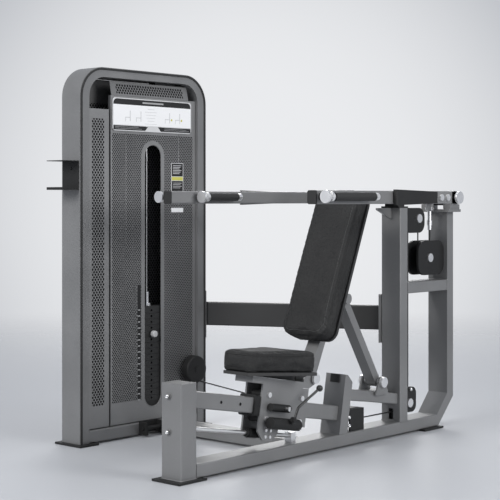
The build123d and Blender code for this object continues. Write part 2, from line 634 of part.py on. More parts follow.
# from the lever's swivel, under the lower head pulley, over the head pulley, down behind the main
# column, forward through its window, and round the guard box's pulley to the tower's round cover
LOW_BOTTOM = LOW_Z - LOW_R - CLEAR
HEAD_TOP = HEAD_Z + HEAD_R + CLEAR
FOOT_BOTTOM = FOOT_Z - FOOT_R - CLEAR
SWIVEL_Y = LOW_Y + LOW_R + CLEAR
RISE_Y, DROP_Y = LOW_Y - LOW_R - CLEAR, HEAD_Y - HEAD_R - CLEAR
CABLE_END = Vector(PANEL_X + 53, SIDE_COVER[0] + 8, SIDE_COVER[1] - 50)
SNUG = 0.1
with BuildPart() as steel_cable:
    lengths["frame run"] = cable(
        [
            (0, SWIVEL_Y, SWIVEL_Z - 0.5), (0, SWIVEL_Y, LOW_BOTTOM), (0, RISE_Y, LOW_BOTTOM),
            (0, RISE_Y, HEAD_TOP), (0, DROP_Y, HEAD_TOP), (0, DROP_Y, FOOT_BOTTOM),
            (0, TURN_CENTRE[1] - 28, FOOT_BOTTOM), CABLE_END,
        ],
        [LOW_R + CLEAR - SNUG, LOW_R + CLEAR - SNUG, HEAD_R + CLEAR - SNUG, HEAD_R + CLEAR - SNUG,
         FOOT_R + CLEAR, TURN_R],
    )
    # inside the tower: from the stem's eye over both head wheels and down behind the round cover
    wheel_run = WHEEL_R + 4
    lengths["tower run"] = cable(
        [
            (STACK_X, STACK_Y, STEM_TOP + 0.5), (STACK_X, STACK_Y, TOWER_WHEEL_Z + wheel_run),
            (STACK_X, WHEEL_Y[1] + wheel_run, TOWER_WHEEL_Z + wheel_run),
            (STACK_X, WHEEL_Y[1] + wheel_run, SIDE_COVER[1]),
        ],
        [wheel_run, wheel_run],
    )
steel_cable.part.label = "steel_cable"
export_step(steel_cable.part, "parts/steel_cable.step")

# ================================================================ press arms
with BuildPart() as arm_bars:
    for sign in (-1, 1):
        with BuildSketch(y_plane(sign * ARM_X, ARM_FRONT, ARM_Z)):
            tube_section(ARM_W, ARM_H)
    extrude(amount=ARM_REAR - 28 - ARM_FRONT)
arm_bars.part.label = "arm_bars"
export_step(arm_bars.part, "parts/arm_bars.step")


# cross tube behind the arms, and the lever running back over the main column to the pivot
with BuildPart() as arm_yoke:
    with BuildSketch(x_plane(-ARM_X - ARM_W / 2, ARM_REAR, ARM_Z)):
        tube_section(56, ARM_H)
    extrude(amount=2 * ARM_X + ARM_W)
    with BuildSketch(y_plane(0, ARM_REAR + 28, ARM_Z)):
        tube_section(64, ARM_H)
    extrude(amount=PIVOT_Y - 30 - ARM_REAR - 28)
    with BuildSketch(x_plane(-32, PIVOT_Y, PIVOT_Z)):
        Circle(32)
        Circle(17, mode=Mode.SUBTRACT)
    extrude(amount=64)
    with BuildSketch(x_plane(-48, PIVOT_Y, PIVOT_Z)):
        Circle(16.95)
    extrude(amount=96, mode=Mode.SUBTRACT)
arm_yoke.part.label = "arm_yoke"
export_step(arm_yoke.part, "parts/arm_yoke.step")

# tapered black covers on the outer side of each arm
COVER_Y0, COVER_Y1 = 800.0, 1075.0
with BuildPart() as arm_covers:
    for sign in (-1, 1):
        with BuildSketch(x_plane(sign * (ARM_X + ARM_W / 2), 0, 0)):
            with BuildLine():
                Polyline((COVER_Y0, ARM_Z - 30), (COVER_Y0, ARM_Z + 30), (COVER_Y1, ARM_Z + 23),
                         (COVER_Y1, ARM_Z - 23), close=True)
            make_face()
        extrude(amount=sign * 18)
    fillet(arm_covers.edges().filter_by(Axis.Z), radius=4)
arm_covers.part.label = "arm_covers"
export_step(arm_covers.part, "parts/arm_covers.step")


GRIPS = [
    (OUTER_GRIP_X, 345.0, 395.0, 632.0), (-OUTER_GRIP_X, 345.0, 395.0, 632.0),
    (INNER_GRIP_X, 472.0, 515.0, 680.0), (-INNER_GRIP_X, 472.0, 515.0, 680.0),
]
CORE_R = 11.0
# rubber grips, and the plugs in the arms' front ends
with BuildPart() as grips_and_plugs:
    for sign in (-1, 1):
        with BuildSketch(y_plane(sign * ARM_X, ARM_FRONT - 6, ARM_Z)):
            RectangleRounded(ARM_W, ARM_H, 8)
        extrude(amount=6)
        with BuildSketch(y_plane(sign * ARM_X, ARM_FRONT, ARM_Z)):
            RectangleRounded(ARM_W - 2 * WALL - 0.4, ARM_H - 2 * WALL - 0.4, 3)
        extrude(amount=20)
    for x, cap_y, grip_y0, grip_y1 in GRIPS:
        disc(y_plane(x, grip_y0, ARM_Z + 2), GRIP_R, grip_y1 - grip_y0, bore=CORE_R)
grips_and_plugs.part.label = "grips_and_plugs"
export_step(grips_and_plugs.part, "parts/grips_and_plugs.step")

# chrome bars through the grips with their front discs and collars
with BuildPart() as handle_bars:
    for x, cap_y, grip_y0, grip_y1 in GRIPS:
        disc(y_plane(x, cap_y + 9, ARM_Z + 2), CORE_R, grip_y1 + 22 - cap_y - 9)
        disc(y_plane(x, cap_y, ARM_Z + 2), GRIP_CAP_R, 9)
        disc(y_plane(x, cap_y + 26, ARM_Z + 2), 18, 12)
        disc(y_plane(x, grip_y1 + 4, ARM_Z + 2), 14, 18)
handle_bars.part.label = "handle_bars"
export_step(handle_bars.part, "parts/handle_bars.step")

# brackets that carry the handle bars on the arms
with BuildPart() as handle_brackets:
    for x, cap_y, grip_y0, grip_y1 in GRIPS:
        side_sign = 1 if abs(x) > ARM_X else -1
        face_x = (1 if x > 0 else -1) * (ARM_X + side_sign * ARM_W / 2)
        x0, x1 = sorted((face_x, x))
        for y0, y1 in ((cap_y + 12, cap_y + 24), (grip_y1 + 6, grip_y1 + 20)):
            block(x0, x1, y0, y1, ARM_Z - 10, ARM_Z + 14)
    for x, cap_y, grip_y0, grip_y1 in GRIPS:
        with BuildSketch(y_plane(x, cap_y, ARM_Z + 2)) as core:
            Circle(CORE_R)
        extrude(core.sketch, amount=400, mode=Mode.SUBTRACT)
        with BuildSketch(y_plane(x, grip_y1 + 4, ARM_Z + 2)) as collar:
            Circle(14)
        extrude(collar.sketch, amount=18, mode=Mode.SUBTRACT)
handle_brackets.part.label = "handle_brackets"
export_step(handle_brackets.part, "parts/handle_brackets.step")

# pivot shaft, and the chrome caps and collars on the arms
with BuildPart() as arm_chrome:
    for sign in (-1, 1):
        disc(x_plane(sign * (ARM_X + ARM_W / 2), ARM_REAR, ARM_Z), 15, sign * 12)
        disc(x_plane(sign * (ARM_X + ARM_W / 2 + 12), ARM_REAR, ARM_Z), 25, sign * 9)
        disc(x_plane(sign * (ARM_X + ARM_W / 2), 1120, ARM_Z), 13, sign * 9)
        disc(x_plane(sign * (ARM_X + ARM_W / 2), 1165, ARM_Z), 13, sign * 9)
    disc(x_plane(-86, PIVOT_Y, PIVOT_Z), 16.95, 172)
    for x in (-94, 86):
        disc(x_plane(x, PIVOT_Y, PIVOT_Z), 24, 8)
arm_chrome.part.label = "arm_chrome"
export_step(arm_chrome.part, "parts/arm_chrome.step")

# pillow blocks either side of the lever, on a cap plate over the rear column
with BuildPart() as pivot_bearings:
    block(-84, 84, REAR_Y0 - 40, REAR_Y1 + 10, REAR_TOP, REAR_TOP + 12)
    for x in (-76, 40):
        block(x, x + 36, PIVOT_Y - 38, PIVOT_Y + 38, REAR_TOP + 12, REAR_TOP + 34)
        disc(x_plane(x, PIVOT_Y, PIVOT_Z), 32, 36)
        block(x, x + 36, PIVOT_Y - 24, PIVOT_Y + 24, REAR_TOP + 20, PIVOT_Z)
    with BuildSketch(x_plane(-90, PIVOT_Y, PIVOT_Z)):
        Circle(17)
    extrude(amount=180, mode=Mode.SUBTRACT)
pivot_bearings.part.label = "pivot_bearings"
export_step(pivot_bearings.part, "parts/pivot_bearings.step")

# cable end: clevis under the lever with its swivel
with BuildPart() as cable_swivel:
    block(-14, 14, SWIVEL_Y - 10, SWIVEL_Y + 10, ARM_Z - ARM_H / 2 - 34, ARM_Z - ARM_H / 2)
    disc(z_plane(0, SWIVEL_Y, SWIVEL_Z), 9, ARM_Z - ARM_H / 2 - 34 - SWIVEL_Z)
    disc(z_plane(0, SWIVEL_Y, SWIVEL_Z + 20), 12, 22)
    disc(x_plane(-20, SWIVEL_Y, ARM_Z - ARM_H / 2 - 22), 6, 40)
cable_swivel.part.label = "cable_swivel"
export_step(cable_swivel.part, "parts/cable_swivel.step")

# ================================================================ seat carriage
PLATE_X, PLATE_THICK = 36.0, 8.0
ROLLER_R, ROLLER_V = 15.0, 45.2
ROLLER_U = (395.0, 590.0)
LOCK_U = 465.0


def carriage_outline():
    """Side plate outline on the active sketch: a body beside the rail and a nose below it."""
    with BuildLine() as outline:
        Polyline((470, -66), (470, -96), (440, -126), (385, -126), (355, -96), (355, 84), (628, 84),
                 (628, -66), close=True)
    make_face(outline.line)


with BuildPart() as carriage_plates:
    for x in (-PLATE_X - PLATE_THICK, PLATE_X):
        with BuildSketch(rail_side.offset(x)):
            carriage_outline()
            for u in ROLLER_U:
                for v in (-ROLLER_V, ROLLER_V):
                    with Locations((u, v)):
                        Circle(6, mode=Mode.SUBTRACT)
            with Locations((LOCK_U, 0)):
                Circle(5.6, mode=Mode.SUBTRACT)
        extrude(amount=PLATE_THICK)
    fillet(carriage_plates.edges().filter_by(Axis.X).group_by(Axis.Z)[0], radius=14)
carriage_plates.part.label = "carriage_plates"
export_step(carriage_plates.part, "parts/carriage_plates.step")

with BuildPart() as carriage_rollers:
    for u in ROLLER_U:
        for v in (-ROLLER_V - 0.3, ROLLER_V + 0.3):
            centre = rail_side.from_local_coords(Vector(u, v, 0))
            disc(x_plane(-PLATE_X + 1, centre.Y, centre.Z), ROLLER_R, 2 * PLATE_X - 2)
carriage_rollers.part.label = "carriage_rollers"
export_step(carriage_rollers.part, "parts/carriage_rollers.step")


# seat support: box bolted over the plates, a pedestal plate, and the hinge fork at its rear
with BuildPart() as seat_support:
    with BuildSketch(rail_side):
        with Locations((442, 96)):
            Rectangle(300, 24)
    extrude(amount=PLATE_X + PLATE_THICK, both=True)
    with BuildSketch(rail_side):
        with Locations((442, 96)):
            Rectangle(292, 18)
    extrude(amount=PLATE_X + PLATE_THICK - WALL, both=True, mode=Mode.SUBTRACT)
    for x in (-PLATE_X - PLATE_THICK, PLATE_X):
        with BuildSketch(rail_side.offset(x)):
            with BuildLine():
                Polyline((592, 85), (592, 122), (640, 150), (672, 138), (672, 112), (628, 85), close=True)
            make_face()
        extrude(amount=PLATE_THICK)
    with BuildSketch(x_plane(-60, HINGE_Y, HINGE_Z)):
        Circle(11.05)
    extrude(amount=120, mode=Mode.SUBTRACT)
seat_support.part.label = "seat_support"
export_step(seat_support.part, "parts/seat_support.step")

# roller bolts, and the backrest's hinge pin with its round caps
with BuildPart() as carriage_pins:
    for u in ROLLER_U:
        for v in (-ROLLER_V, ROLLER_V):
            centre = rail_side.from_local_coords(Vector(u, v, 0))
            for x, length in ((PLATE_X - 1, 1), (-PLATE_X + 1, -1)):
                disc(x_plane(x, centre.Y, centre.Z), 6, length * (PLATE_THICK + 1))
                disc(x_plane(x + length * (PLATE_THICK + 1), centre.Y, centre.Z), 10, length * 6)
    for u, v in ((425, -112), (398, -112), (398, -88), (425, -88)):
        centre = rail_side.from_local_coords(Vector(u, v, 0))
        disc(x_plane(PLATE_X + PLATE_THICK, centre.Y, centre.Z), 6, 4)
    disc(x_plane(-50, HINGE_Y, HINGE_Z), 11.0, 100)
    for x in (-60, 50):
        disc(x_plane(x, HINGE_Y, HINGE_Z), 20, 10)
carriage_pins.part.label = "carriage_pins"
export_step(carriage_pins.part, "parts/carriage_pins.step")

# seat: board on wedge brackets, and a pad narrower at its front
SEAT_Y0, SEAT_Y1 = 328.0, 655.0
SEAT_Z, SEAT_TILT = 362.0, 4.0
seat_plane = Plane(origin=(0, SEAT_Y0, SEAT_Z), x_dir=(1, 0, 0),
                   z_dir=(0, sin(radians(SEAT_TILT)), cos(radians(SEAT_TILT))))


def seat_outline(inset):
    """Trapezoid seat plan on the active sketch."""
    with BuildLine() as outline:
        Polyline(
            (-72 + inset, inset), (72 - inset, inset), (152 - inset, SEAT_Y1 - SEAT_Y0 - inset),
            (-152 + inset, SEAT_Y1 - SEAT_Y0 - inset), close=True,
        )
    make_face(outline.line)


with BuildPart() as seat_pad:
    with BuildSketch(seat_plane):
        seat_outline(0)
    extrude(amount=76)
    fillet(seat_pad.edges().filter_by(Axis(seat_plane.origin, seat_plane.z_dir)), radius=28)
seat_pad.part.label = "seat_pad"
export_step(seat_pad.part, "parts/seat_pad.step")

with BuildPart() as seat_board:
    with BuildSketch(seat_plane.offset(-12.3)):
        seat_outline(10)
    extrude(amount=12)
    for x in (-30, 26):
        with BuildSketch(Plane.YZ.offset(x)):
            with BuildLine():
                Polyline((395, 345), (395, 341.6), (640, 298.4), (640, 327.6), close=True)
            make_face()
        extrude(amount=4)
seat_board.part.label = "seat_board"
export_step(seat_board.part, "parts/seat_board.step")

# ================================================================ seat guide, lock and release
GUIDE_V, GUIDE_R = -104.0, 8.0
SLEEVE_U0, SLEEVE_U1 = 345.0, 480.0
GUIDE_END = 612.0
guide_end = rail_end.shift_origin(rail_side.from_local_coords(Vector(0, GUIDE_V, 0)))
GUIDE_FOOT = rail_side.from_local_coords(Vector(600, GUIDE_V, 0))
# chrome guide rod under the seat rail, and the block on the base rail that holds its end
with BuildPart() as guide_rod_set:
    block(-16, 16, GUIDE_FOOT.Y - 14, GUIDE_FOOT.Y + 14, RAIL_TOP, GUIDE_FOOT.Z + 16)
    with BuildSketch(guide_end.offset(500)):
        Circle(GUIDE_R + 0.1)
    extrude(amount=200, mode=Mode.SUBTRACT)
    with BuildSketch(guide_end.offset(10)):
        Circle(GUIDE_R)
    extrude(amount=GUIDE_END - 10)
    with BuildSketch(guide_end.offset(GUIDE_END)):
        Circle(GUIDE_R + 5)
    extrude(amount=6)
    with BuildSketch(guide_end.offset(-20)):
        Circle(GUIDE_R + 9)
    extrude(amount=32)
    block(-40, 40, 0, FRONT_POST_D, 100, 260, mode=Mode.SUBTRACT)
guide_rod_set.part.label = "guide_rod_set"
export_step(guide_rod_set.part, "parts/guide_rod_set.step")

# block on the base rail that holds the guide rod's lower end


# sleeve on the guide rod, and the plastic wiper collar round the rail
with BuildPart() as rail_bushings:
    with BuildSketch(guide_end.offset(SLEEVE_U0)):
        Circle(17)
    extrude(amount=SLEEVE_U1 - SLEEVE_U0)
    with BuildSketch(guide_end.offset(SLEEVE_U0 - 12)):
        Circle(14)
    extrude(amount=12)
    with BuildSketch(rail_side):
        with Locations((415, GUIDE_V)):
            Rectangle(44, 30)
    extrude(amount=PLATE_X - 0.2, both=True)
    with BuildSketch(guide_end.offset(SLEEVE_U0 - 20)):
        Circle(GUIDE_R + 0.08)
    extrude(amount=200, mode=Mode.SUBTRACT)
    with BuildSketch(rail_end.offset(326)):
        RectangleRounded(RAIL_W + 20, RAIL_H + 20, 8)
        RectangleRounded(RAIL_W + 1.2, RAIL_H + 1.2, 6.5, mode=Mode.SUBTRACT)
    extrude(amount=28)
rail_bushings.part.label = "rail_bushings"
export_step(rail_bushings.part, "parts/rail_bushings.step")

LOCK_X = 60.0
lock_axis = rail_end.shift_origin(rail_side.from_local_coords(Vector(0, 0, LOCK_X)))
damper_axis = rail_end.shift_origin(rail_side.from_local_coords(Vector(0, -58, 76)))
LEVER_Y, LEVER_Z = 545.0, 165.0
with BuildPart() as lock_housing:
    with BuildSketch(lock_axis.offset(392)):
        Circle(15)
    extrude(amount=108)
    with BuildSketch(lock_axis.offset(500)):
        Circle(10)
    extrude(amount=8)
    lock_centre = rail_side.from_local_coords(Vector(LOCK_U, 0, 0))
    with BuildSketch(x_plane(30, lock_centre.Y, lock_centre.Z)):
        Circle(5.6)
    extrude(amount=80, mode=Mode.SUBTRACT)
    # damper cylinder under the lock, with the stub that carries the lever
    with BuildSketch(damper_axis.offset(380)):
        Circle(22)
    extrude(amount=166)
    with BuildSketch(damper_axis.offset(546)):
        Circle(15)
    extrude(amount=10)
    disc(x_plane(92, LEVER_Y, LEVER_Z), 6, 21)
    disc(x_plane(112.5, LEVER_Y, LEVER_Z), 9, 3)
    block(44, 60, 500, 560, 140, 160)
lock_housing.part.label = "lock_housing"
export_step(lock_housing.part, "parts/lock_housing.step")

# pop pin drawn back until its nose is just clear of the rail's side and its row of holes
NOSE_GAP = 0.3
with BuildPart() as pop_pin:
    disc(x_plane(RAIL_W / 2 + NOSE_GAP, lock_centre.Y, lock_centre.Z), 5.5, 90 - RAIL_W / 2 - NOSE_GAP)
    disc(x_plane(90, lock_centre.Y, lock_centre.Z), 9, 6)
pop_pin.part.label = "pop_pin"
export_step(pop_pin.part, "parts/pop_pin.step")

# bent release lever with a round knob by the seat's left edge
KNOB = Vector(128, 676, 275)
ROD_START = (106, LEVER_Y + 8, LEVER_Z + 4)

# bent release lever with a round knob by the seat's left edge
with BuildPart() as release_lever:
    disc(x_plane(100, LEVER_Y, LEVER_Z), 13, 12)
    with BuildLine():
        FilletPolyline(ROD_START, (111, LEVER_Y + 24, LEVER_Z + 46), KNOB, radius=14)
    with BuildSketch(Plane(origin=ROD_START, z_dir=(5, 16, 42))):
        Circle(5)
    sweep()
    with BuildSketch(x_plane(90, LEVER_Y, LEVER_Z)):
        Circle(6.06)
    extrude(amount=40, mode=Mode.SUBTRACT)
    with Locations(KNOB):
        Sphere(13)
release_lever.part.label = "release_lever"
export_step(release_lever.part, "parts/release_lever.step")

# ================================================================ backrest and recline link
BACK_Y, BACK_Z = 730.0, 500.0
PAD_W, PAD_T, BOARD_T = 236.0, 75.0, 12.0
PAD_LOW, PAD_HIGH = -38.0, 596.0


def behind(t, n):
    """Side-view point t up the pad's front face and n behind it."""
    return (BACK_Y + t * lean_s + n * lean_c, BACK_Z + t * lean_c - n * lean_s)


def back_plane(n):
    """Plane n behind the pad's front face, facing forward; local y runs up the pad."""
    y, z = behind(0, n)
    return Plane(origin=(0, y, z), x_dir=(1, 0, 0), z_dir=(0, -lean_c, lean_s))


with BuildPart() as back_pad:
    with BuildSketch(back_plane(PAD_T)):
        with Locations((0, (PAD_LOW + PAD_HIGH) / 2)):
            RectangleRounded(PAD_W, PAD_HIGH - PAD_LOW, 48)
    extrude(amount=PAD_T)
back_pad.part.label = "back_pad"
export_step(back_pad.part, "parts/back_pad.step")

with BuildPart() as back_board:
    with BuildSketch(back_plane(PAD_T + 0.3 + BOARD_T)):
        with Locations((0, (PAD_LOW + PAD_HIGH) / 2)):
            RectangleRounded(PAD_W - 16, PAD_HIGH - PAD_LOW - 16, 42)
    extrude(amount=BOARD_T)
back_board.part.label = "back_board"
export_step(back_board.part, "parts/back_board.step")

TUBE_N0, TUBE_N1 = PAD_T + BOARD_T + 0.6, PAD_T + BOARD_T + 36
with BuildPart() as back_support:
    for x, length in ((34, 11), (-34, -11)):
        disc(x_plane(x, *LINK_TOP), 21, length)
    with BuildSketch(side):
        with BuildLine():
            Polyline(behind(-30, TUBE_N0), behind(430, TUBE_N0), behind(430, TUBE_N1), behind(20, TUBE_N1),
                     (HINGE_Y + 22, HINGE_Z - 8), (HINGE_Y - 20, HINGE_Z + 12), close=True)
        make_face()
        with Locations((HINGE_Y, HINGE_Z)):
            Circle(24)
    extrude(amount=30, both=True)
    with BuildSketch(side):
        with BuildLine():
            Polyline(behind(-14, TUBE_N0 + WALL), behind(427, TUBE_N0 + WALL), behind(427, TUBE_N1 - WALL),
                     behind(22, TUBE_N1 - WALL), (HINGE_Y + 30, HINGE_Z + 26), (HINGE_Y + 2, HINGE_Z + 40),
                     close=True)
        make_face()
    extrude(amount=30 - WALL, both=True, mode=Mode.SUBTRACT)
    # ears round the link's top
    for x in (-34, 26):
        with BuildSketch(side.offset(x)):
            with BuildLine():
                Polyline(behind(130, TUBE_N1 - 1), (LINK_TOP[0] - 2, LINK_TOP[1] - 18), LINK_TOP,
                         (LINK_TOP[0] + 6, LINK_TOP[1] + 17), behind(236, TUBE_N1 - 1), close=True)
            make_face()
            with Locations(LINK_TOP):
                Circle(18)
        extrude(amount=8)
    with BuildSketch(x_plane(-60, HINGE_Y, HINGE_Z)):
        Circle(11.06)
    extrude(amount=120, mode=Mode.SUBTRACT)
back_support.part.label = "back_support"
export_step(back_support.part, "parts/back_support.step")


link_angle = atan2(LINK_TOP[1] - LINK_BASE[1], LINK_TOP[0] - LINK_BASE[0])
link_length = sqrt((LINK_TOP[0] - LINK_BASE[0]) ** 2 + (LINK_TOP[1] - LINK_BASE[1]) ** 2)
link_side = Plane(origin=(0, *LINK_BASE), x_dir=(0, cos(link_angle), sin(link_angle)), z_dir=(1, 0, 0))
with BuildPart() as recline_link:
    with BuildSketch(link_side):
        with Locations((link_length / 2, 0)):
            Rectangle(link_length, 34)
        Circle(20)
        with Locations((link_length, 0)):
            Circle(17)
    extrude(amount=25, both=True)
    with BuildSketch(link_side):
        with Locations((link_length / 2, 0)):
            Rectangle(link_length - 70, 28)
    extrude(amount=22, both=True, mode=Mode.SUBTRACT)
    with BuildSketch(link_side.offset(-60)):
        Circle(12.26)
    extrude(amount=120, mode=Mode.SUBTRACT)
recline_link.part.label = "recline_link"
export_step(recline_link.part, "parts/recline_link.step")

# flanges of the mid beam, the gusset under the arm rest, and the bolts seen on the frame
with BuildPart() as frame_fasteners:
    block(TOWER_X0 + 2, TOWER_X1 - 2, TOWER_Y1, TOWER_Y1 + 8, 388, 596)
    block(-BEAM_HALF - 8, -BEAM_HALF, 1306, 1380, 388, 596)
    for z in (412, 572):
        disc(y_plane(STACK_X, TOWER_Y1 + 8, z), 9, 7)
        disc(x_plane(-BEAM_HALF - 15, 1343, z), 9, 7)
    with BuildSketch(side):
        with BuildLine():
            Polyline((COLUMN_Y0, COLUMN_TOP), (COLUMN_Y0 - 100, COLUMN_TOP),
                     (COLUMN_Y0 - 100, COLUMN_TOP - 8), (COLUMN_Y0, COLUMN_TOP - 48), close=True)
        make_face()
    extrude(amount=5, both=True)
    for z in (304, 177):
        disc(y_plane(-12, -2, z), 13, 2)
        disc(y_plane(-12, -9, z), 9, 7)
    for y, z in ((350 + 625, 118), (350 + 625, 84)):
        disc(x_plane(36, y, z), 7, 5)
    disc(x_plane(COVER_OUT, 1412, 186), 8, 5)
frame_fasteners.part.label = "frame_fasteners"
export_step(frame_fasteners.part, "parts/frame_fasteners.step")

for name, length in lengths.items():
    print(name, round(length), "mm")
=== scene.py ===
import json
import math

import bmesh
import bpy
from mathutils import Matrix, Vector
from mathutils.bvhtree import BVHTree


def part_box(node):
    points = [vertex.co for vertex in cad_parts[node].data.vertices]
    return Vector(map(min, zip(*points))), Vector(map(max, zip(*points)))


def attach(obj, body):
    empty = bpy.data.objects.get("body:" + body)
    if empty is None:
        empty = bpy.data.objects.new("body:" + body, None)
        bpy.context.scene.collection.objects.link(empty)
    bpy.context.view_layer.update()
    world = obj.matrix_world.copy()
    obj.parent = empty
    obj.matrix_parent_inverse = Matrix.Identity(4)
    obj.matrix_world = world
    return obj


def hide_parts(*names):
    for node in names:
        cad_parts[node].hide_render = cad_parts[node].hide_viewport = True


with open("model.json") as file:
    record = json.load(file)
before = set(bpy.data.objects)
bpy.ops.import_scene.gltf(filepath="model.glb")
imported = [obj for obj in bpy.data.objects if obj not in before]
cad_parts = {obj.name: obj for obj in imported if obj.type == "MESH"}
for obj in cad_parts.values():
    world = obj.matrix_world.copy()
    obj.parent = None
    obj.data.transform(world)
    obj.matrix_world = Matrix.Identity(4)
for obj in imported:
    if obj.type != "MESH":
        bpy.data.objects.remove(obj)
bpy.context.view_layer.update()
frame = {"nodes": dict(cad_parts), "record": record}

nodes = frame["nodes"]
X_AXIS, Y_AXIS, Z_AXIS = Vector((1, 0, 0)), Vector((0, 1, 0)), Vector((0, 0, 1))


# ---------------------------------------------------------------- camera, lights, floor
CAMERA_TURN = math.radians(42)
CAMERA_PLACE = Vector((3.4066, -3.3656, 1.0))
LENS_MM = 97.2
SHIFT_DOWN = -0.1


def make_camera():
    data = bpy.data.cameras.new("camera")
    data.lens = LENS_MM
    data.sensor_width = 36
    data.shift_y = SHIFT_DOWN
    camera = bpy.data.objects.new("camera", data)
    camera.location = CAMERA_PLACE
    camera.rotation_euler = (math.pi / 2, 0, CAMERA_TURN)
    bpy.context.scene.collection.objects.link(camera)
    bpy.context.scene.camera = camera


def area_light(name, place, target, size, watts):
    data = bpy.data.lights.new(name, "AREA")
    data.shape = "DISK"
    data.size = size
    data.energy = watts
    light = bpy.data.objects.new(name, data)
    light.location = place
    light.rotation_euler = (Vector(target) - Vector(place)).to_track_quat("-Z", "Y").to_euler()
    bpy.context.scene.collection.objects.link(light)


def make_lights():
    middle = (-0.2, 0.8, 0.7)
    area_light("key", (-0.6, -4.6, 3.4), middle, 2.6, 250)
    area_light("side", (5.0, 1.2, 2.6), middle, 2.6, 170)
    area_light("top", (-0.2, 0.9, 4.6), middle, 3.0, 45)
    area_light("rear", (-3.4, 4.6, 3.0), middle, 2.5, 90)


def make_world():
    """Pale studio backdrop, a little brighter behind the machine than at its edges."""
    world = bpy.data.worlds.new("studio")
    world.use_nodes = True
    bpy.context.scene.world = world
    tree = world.node_tree
    background = tree.nodes["Background"]
    background.inputs["Strength"].default_value = 1.0
    coords = tree.nodes.new("ShaderNodeTexCoord")
    along = tree.nodes.new("ShaderNodeVectorMath")
    along.operation = "DOT_PRODUCT"
    along.inputs[1].default_value = (-math.sin(CAMERA_TURN), math.cos(CAMERA_TURN), 0.0)
    tree.links.new(coords.outputs["Generated"], along.inputs[0])
    ramp = tree.nodes.new("ShaderNodeValToRGB")
    ramp.color_ramp.interpolation = "EASE"
    ramp.color_ramp.elements[0].position = 0.955
    ramp.color_ramp.elements[0].color = (0.38, 0.40, 0.44, 1)
    ramp.color_ramp.elements[1].position = 1.0
    ramp.color_ramp.elements[1].color = (0.83, 0.84, 0.86, 1)
    tree.links.new(along.outputs["Value"], ramp.inputs[0])
    tree.links.new(ramp.outputs[0], background.inputs["Color"])


def make_floor():
    """Round pale floor that fades out at its rim, so no horizon line shows."""
    bm = bmesh.new()
    bmesh.ops.create_circle(bm, cap_ends=True, segments=96, radius=9.0)
    mesh = bpy.data.meshes.new("floor")
    bm.to_mesh(mesh)
    bm.free()
    floor = bpy.data.objects.new("floor", mesh)
    floor.location = (-0.2, 0.8, -0.0005)
    bpy.context.scene.collection.objects.link(floor)
    mat, tree, shader = new_material("studio_floor")
    shader.inputs["Base Color"].default_value = (0.47, 0.48, 0.50, 1)
    shader.inputs["Roughness"].default_value = 0.42
    coords = tree.nodes.new("ShaderNodeTexCoord")
    length = tree.nodes.new("ShaderNodeVectorMath")
    length.operation = "LENGTH"
    tree.links.new(coords.outputs["Object"], length.inputs[0])
    fade = tree.nodes.new("ShaderNodeMapRange")
    fade.interpolation_type = "SMOOTHSTEP"
    fade.inputs["From Min"].default_value = 1.6
    fade.inputs["From Max"].default_value = 7.0
    fade.inputs["To Min"].default_value = 1.0
    fade.inputs["To Max"].default_value = 0.0
    tree.links.new(length.outputs["Value"], fade.inputs["Value"])
    tree.links.new(fade.outputs[0], shader.inputs["Alpha"])
    mesh.materials.append(mat)


# ---------------------------------------------------------------- material helpers
def new_material(name):
    mat = bpy.data.materials.new(name)
    mat.use_nodes = True
    return mat, mat.node_tree, mat.node_tree.nodes["Principled BSDF"]


def link(tree, source, target):
    """Connects a socket, or sets a constant on the target."""
    if hasattr(source, "links"):
        tree.links.new(source, target)
    else:
        target.default_value = source


def calc(tree, operation, *terms):
    node = tree.nodes.new("ShaderNodeMath")
    node.operation = operation
    for term, socket in zip(terms, node.inputs):
        link(tree, term, socket)
    return node.outputs[0]


def place(tree, stretch=(1, 1, 1)):
    """Object coordinates in metres, which are row-frame coordinates at rest."""
    coords = tree.nodes.new("ShaderNodeTexCoord")
    scale = tree.nodes.new("ShaderNodeMapping")
    scale.inputs["Scale"].default_value = stretch
    tree.links.new(coords.outputs["Object"], scale.inputs["Vector"])
    return scale.outputs[0]


def noise(tree, scale, detail=3.0, stretch=(1, 1, 1)):
    node = tree.nodes.new("ShaderNodeTexNoise")
    node.inputs["Scale"].default_value = scale
    node.inputs["Detail"].default_value = detail
    tree.links.new(place(tree, stretch), node.inputs["Vector"])
    return node.outputs["Fac"]


def cells(tree, scale, feature="DISTANCE_TO_EDGE"):
    node = tree.nodes.new("ShaderNodeTexVoronoi")
    node.feature = feature
    node.inputs["Scale"].default_value = scale
    tree.links.new(place(tree), node.inputs["Vector"])
    return node.outputs["Distance"]


def remap(tree, value, low, high, to_low=0.0, to_high=1.0):
    node = tree.nodes.new("ShaderNodeMapRange")
    for name, term in (("Value", value), ("From Min", low), ("From Max", high),
                       ("To Min", to_low), ("To Max", to_high)):
        link(tree, term, node.inputs[name])
    return node.outputs[0]


def mix(tree, factor, low, high):
    """Colour mix; low and high are colours or colour sockets."""
    node = tree.nodes.new("ShaderNodeMix")
    node.data_type = "RGBA"
    link(tree, factor, node.inputs[0])
    link(tree, low, node.inputs[6])
    link(tree, high, node.inputs[7])
    return node.outputs[2]


def bump(tree, shader, height, depth, strength=1.0):
    node = tree.nodes.new("ShaderNodeBump")
    node.inputs["Strength"].default_value = strength
    node.inputs["Distance"].default_value = depth
    tree.links.new(height, node.inputs["Height"])
    tree.links.new(node.outputs[0], shader.inputs["Normal"])


def tone(level, warm=0.0):
    """Grey of that linear level, warmer or cooler by a little."""
    return (level * (1 + warm), level, level * (1 - warm), 1)


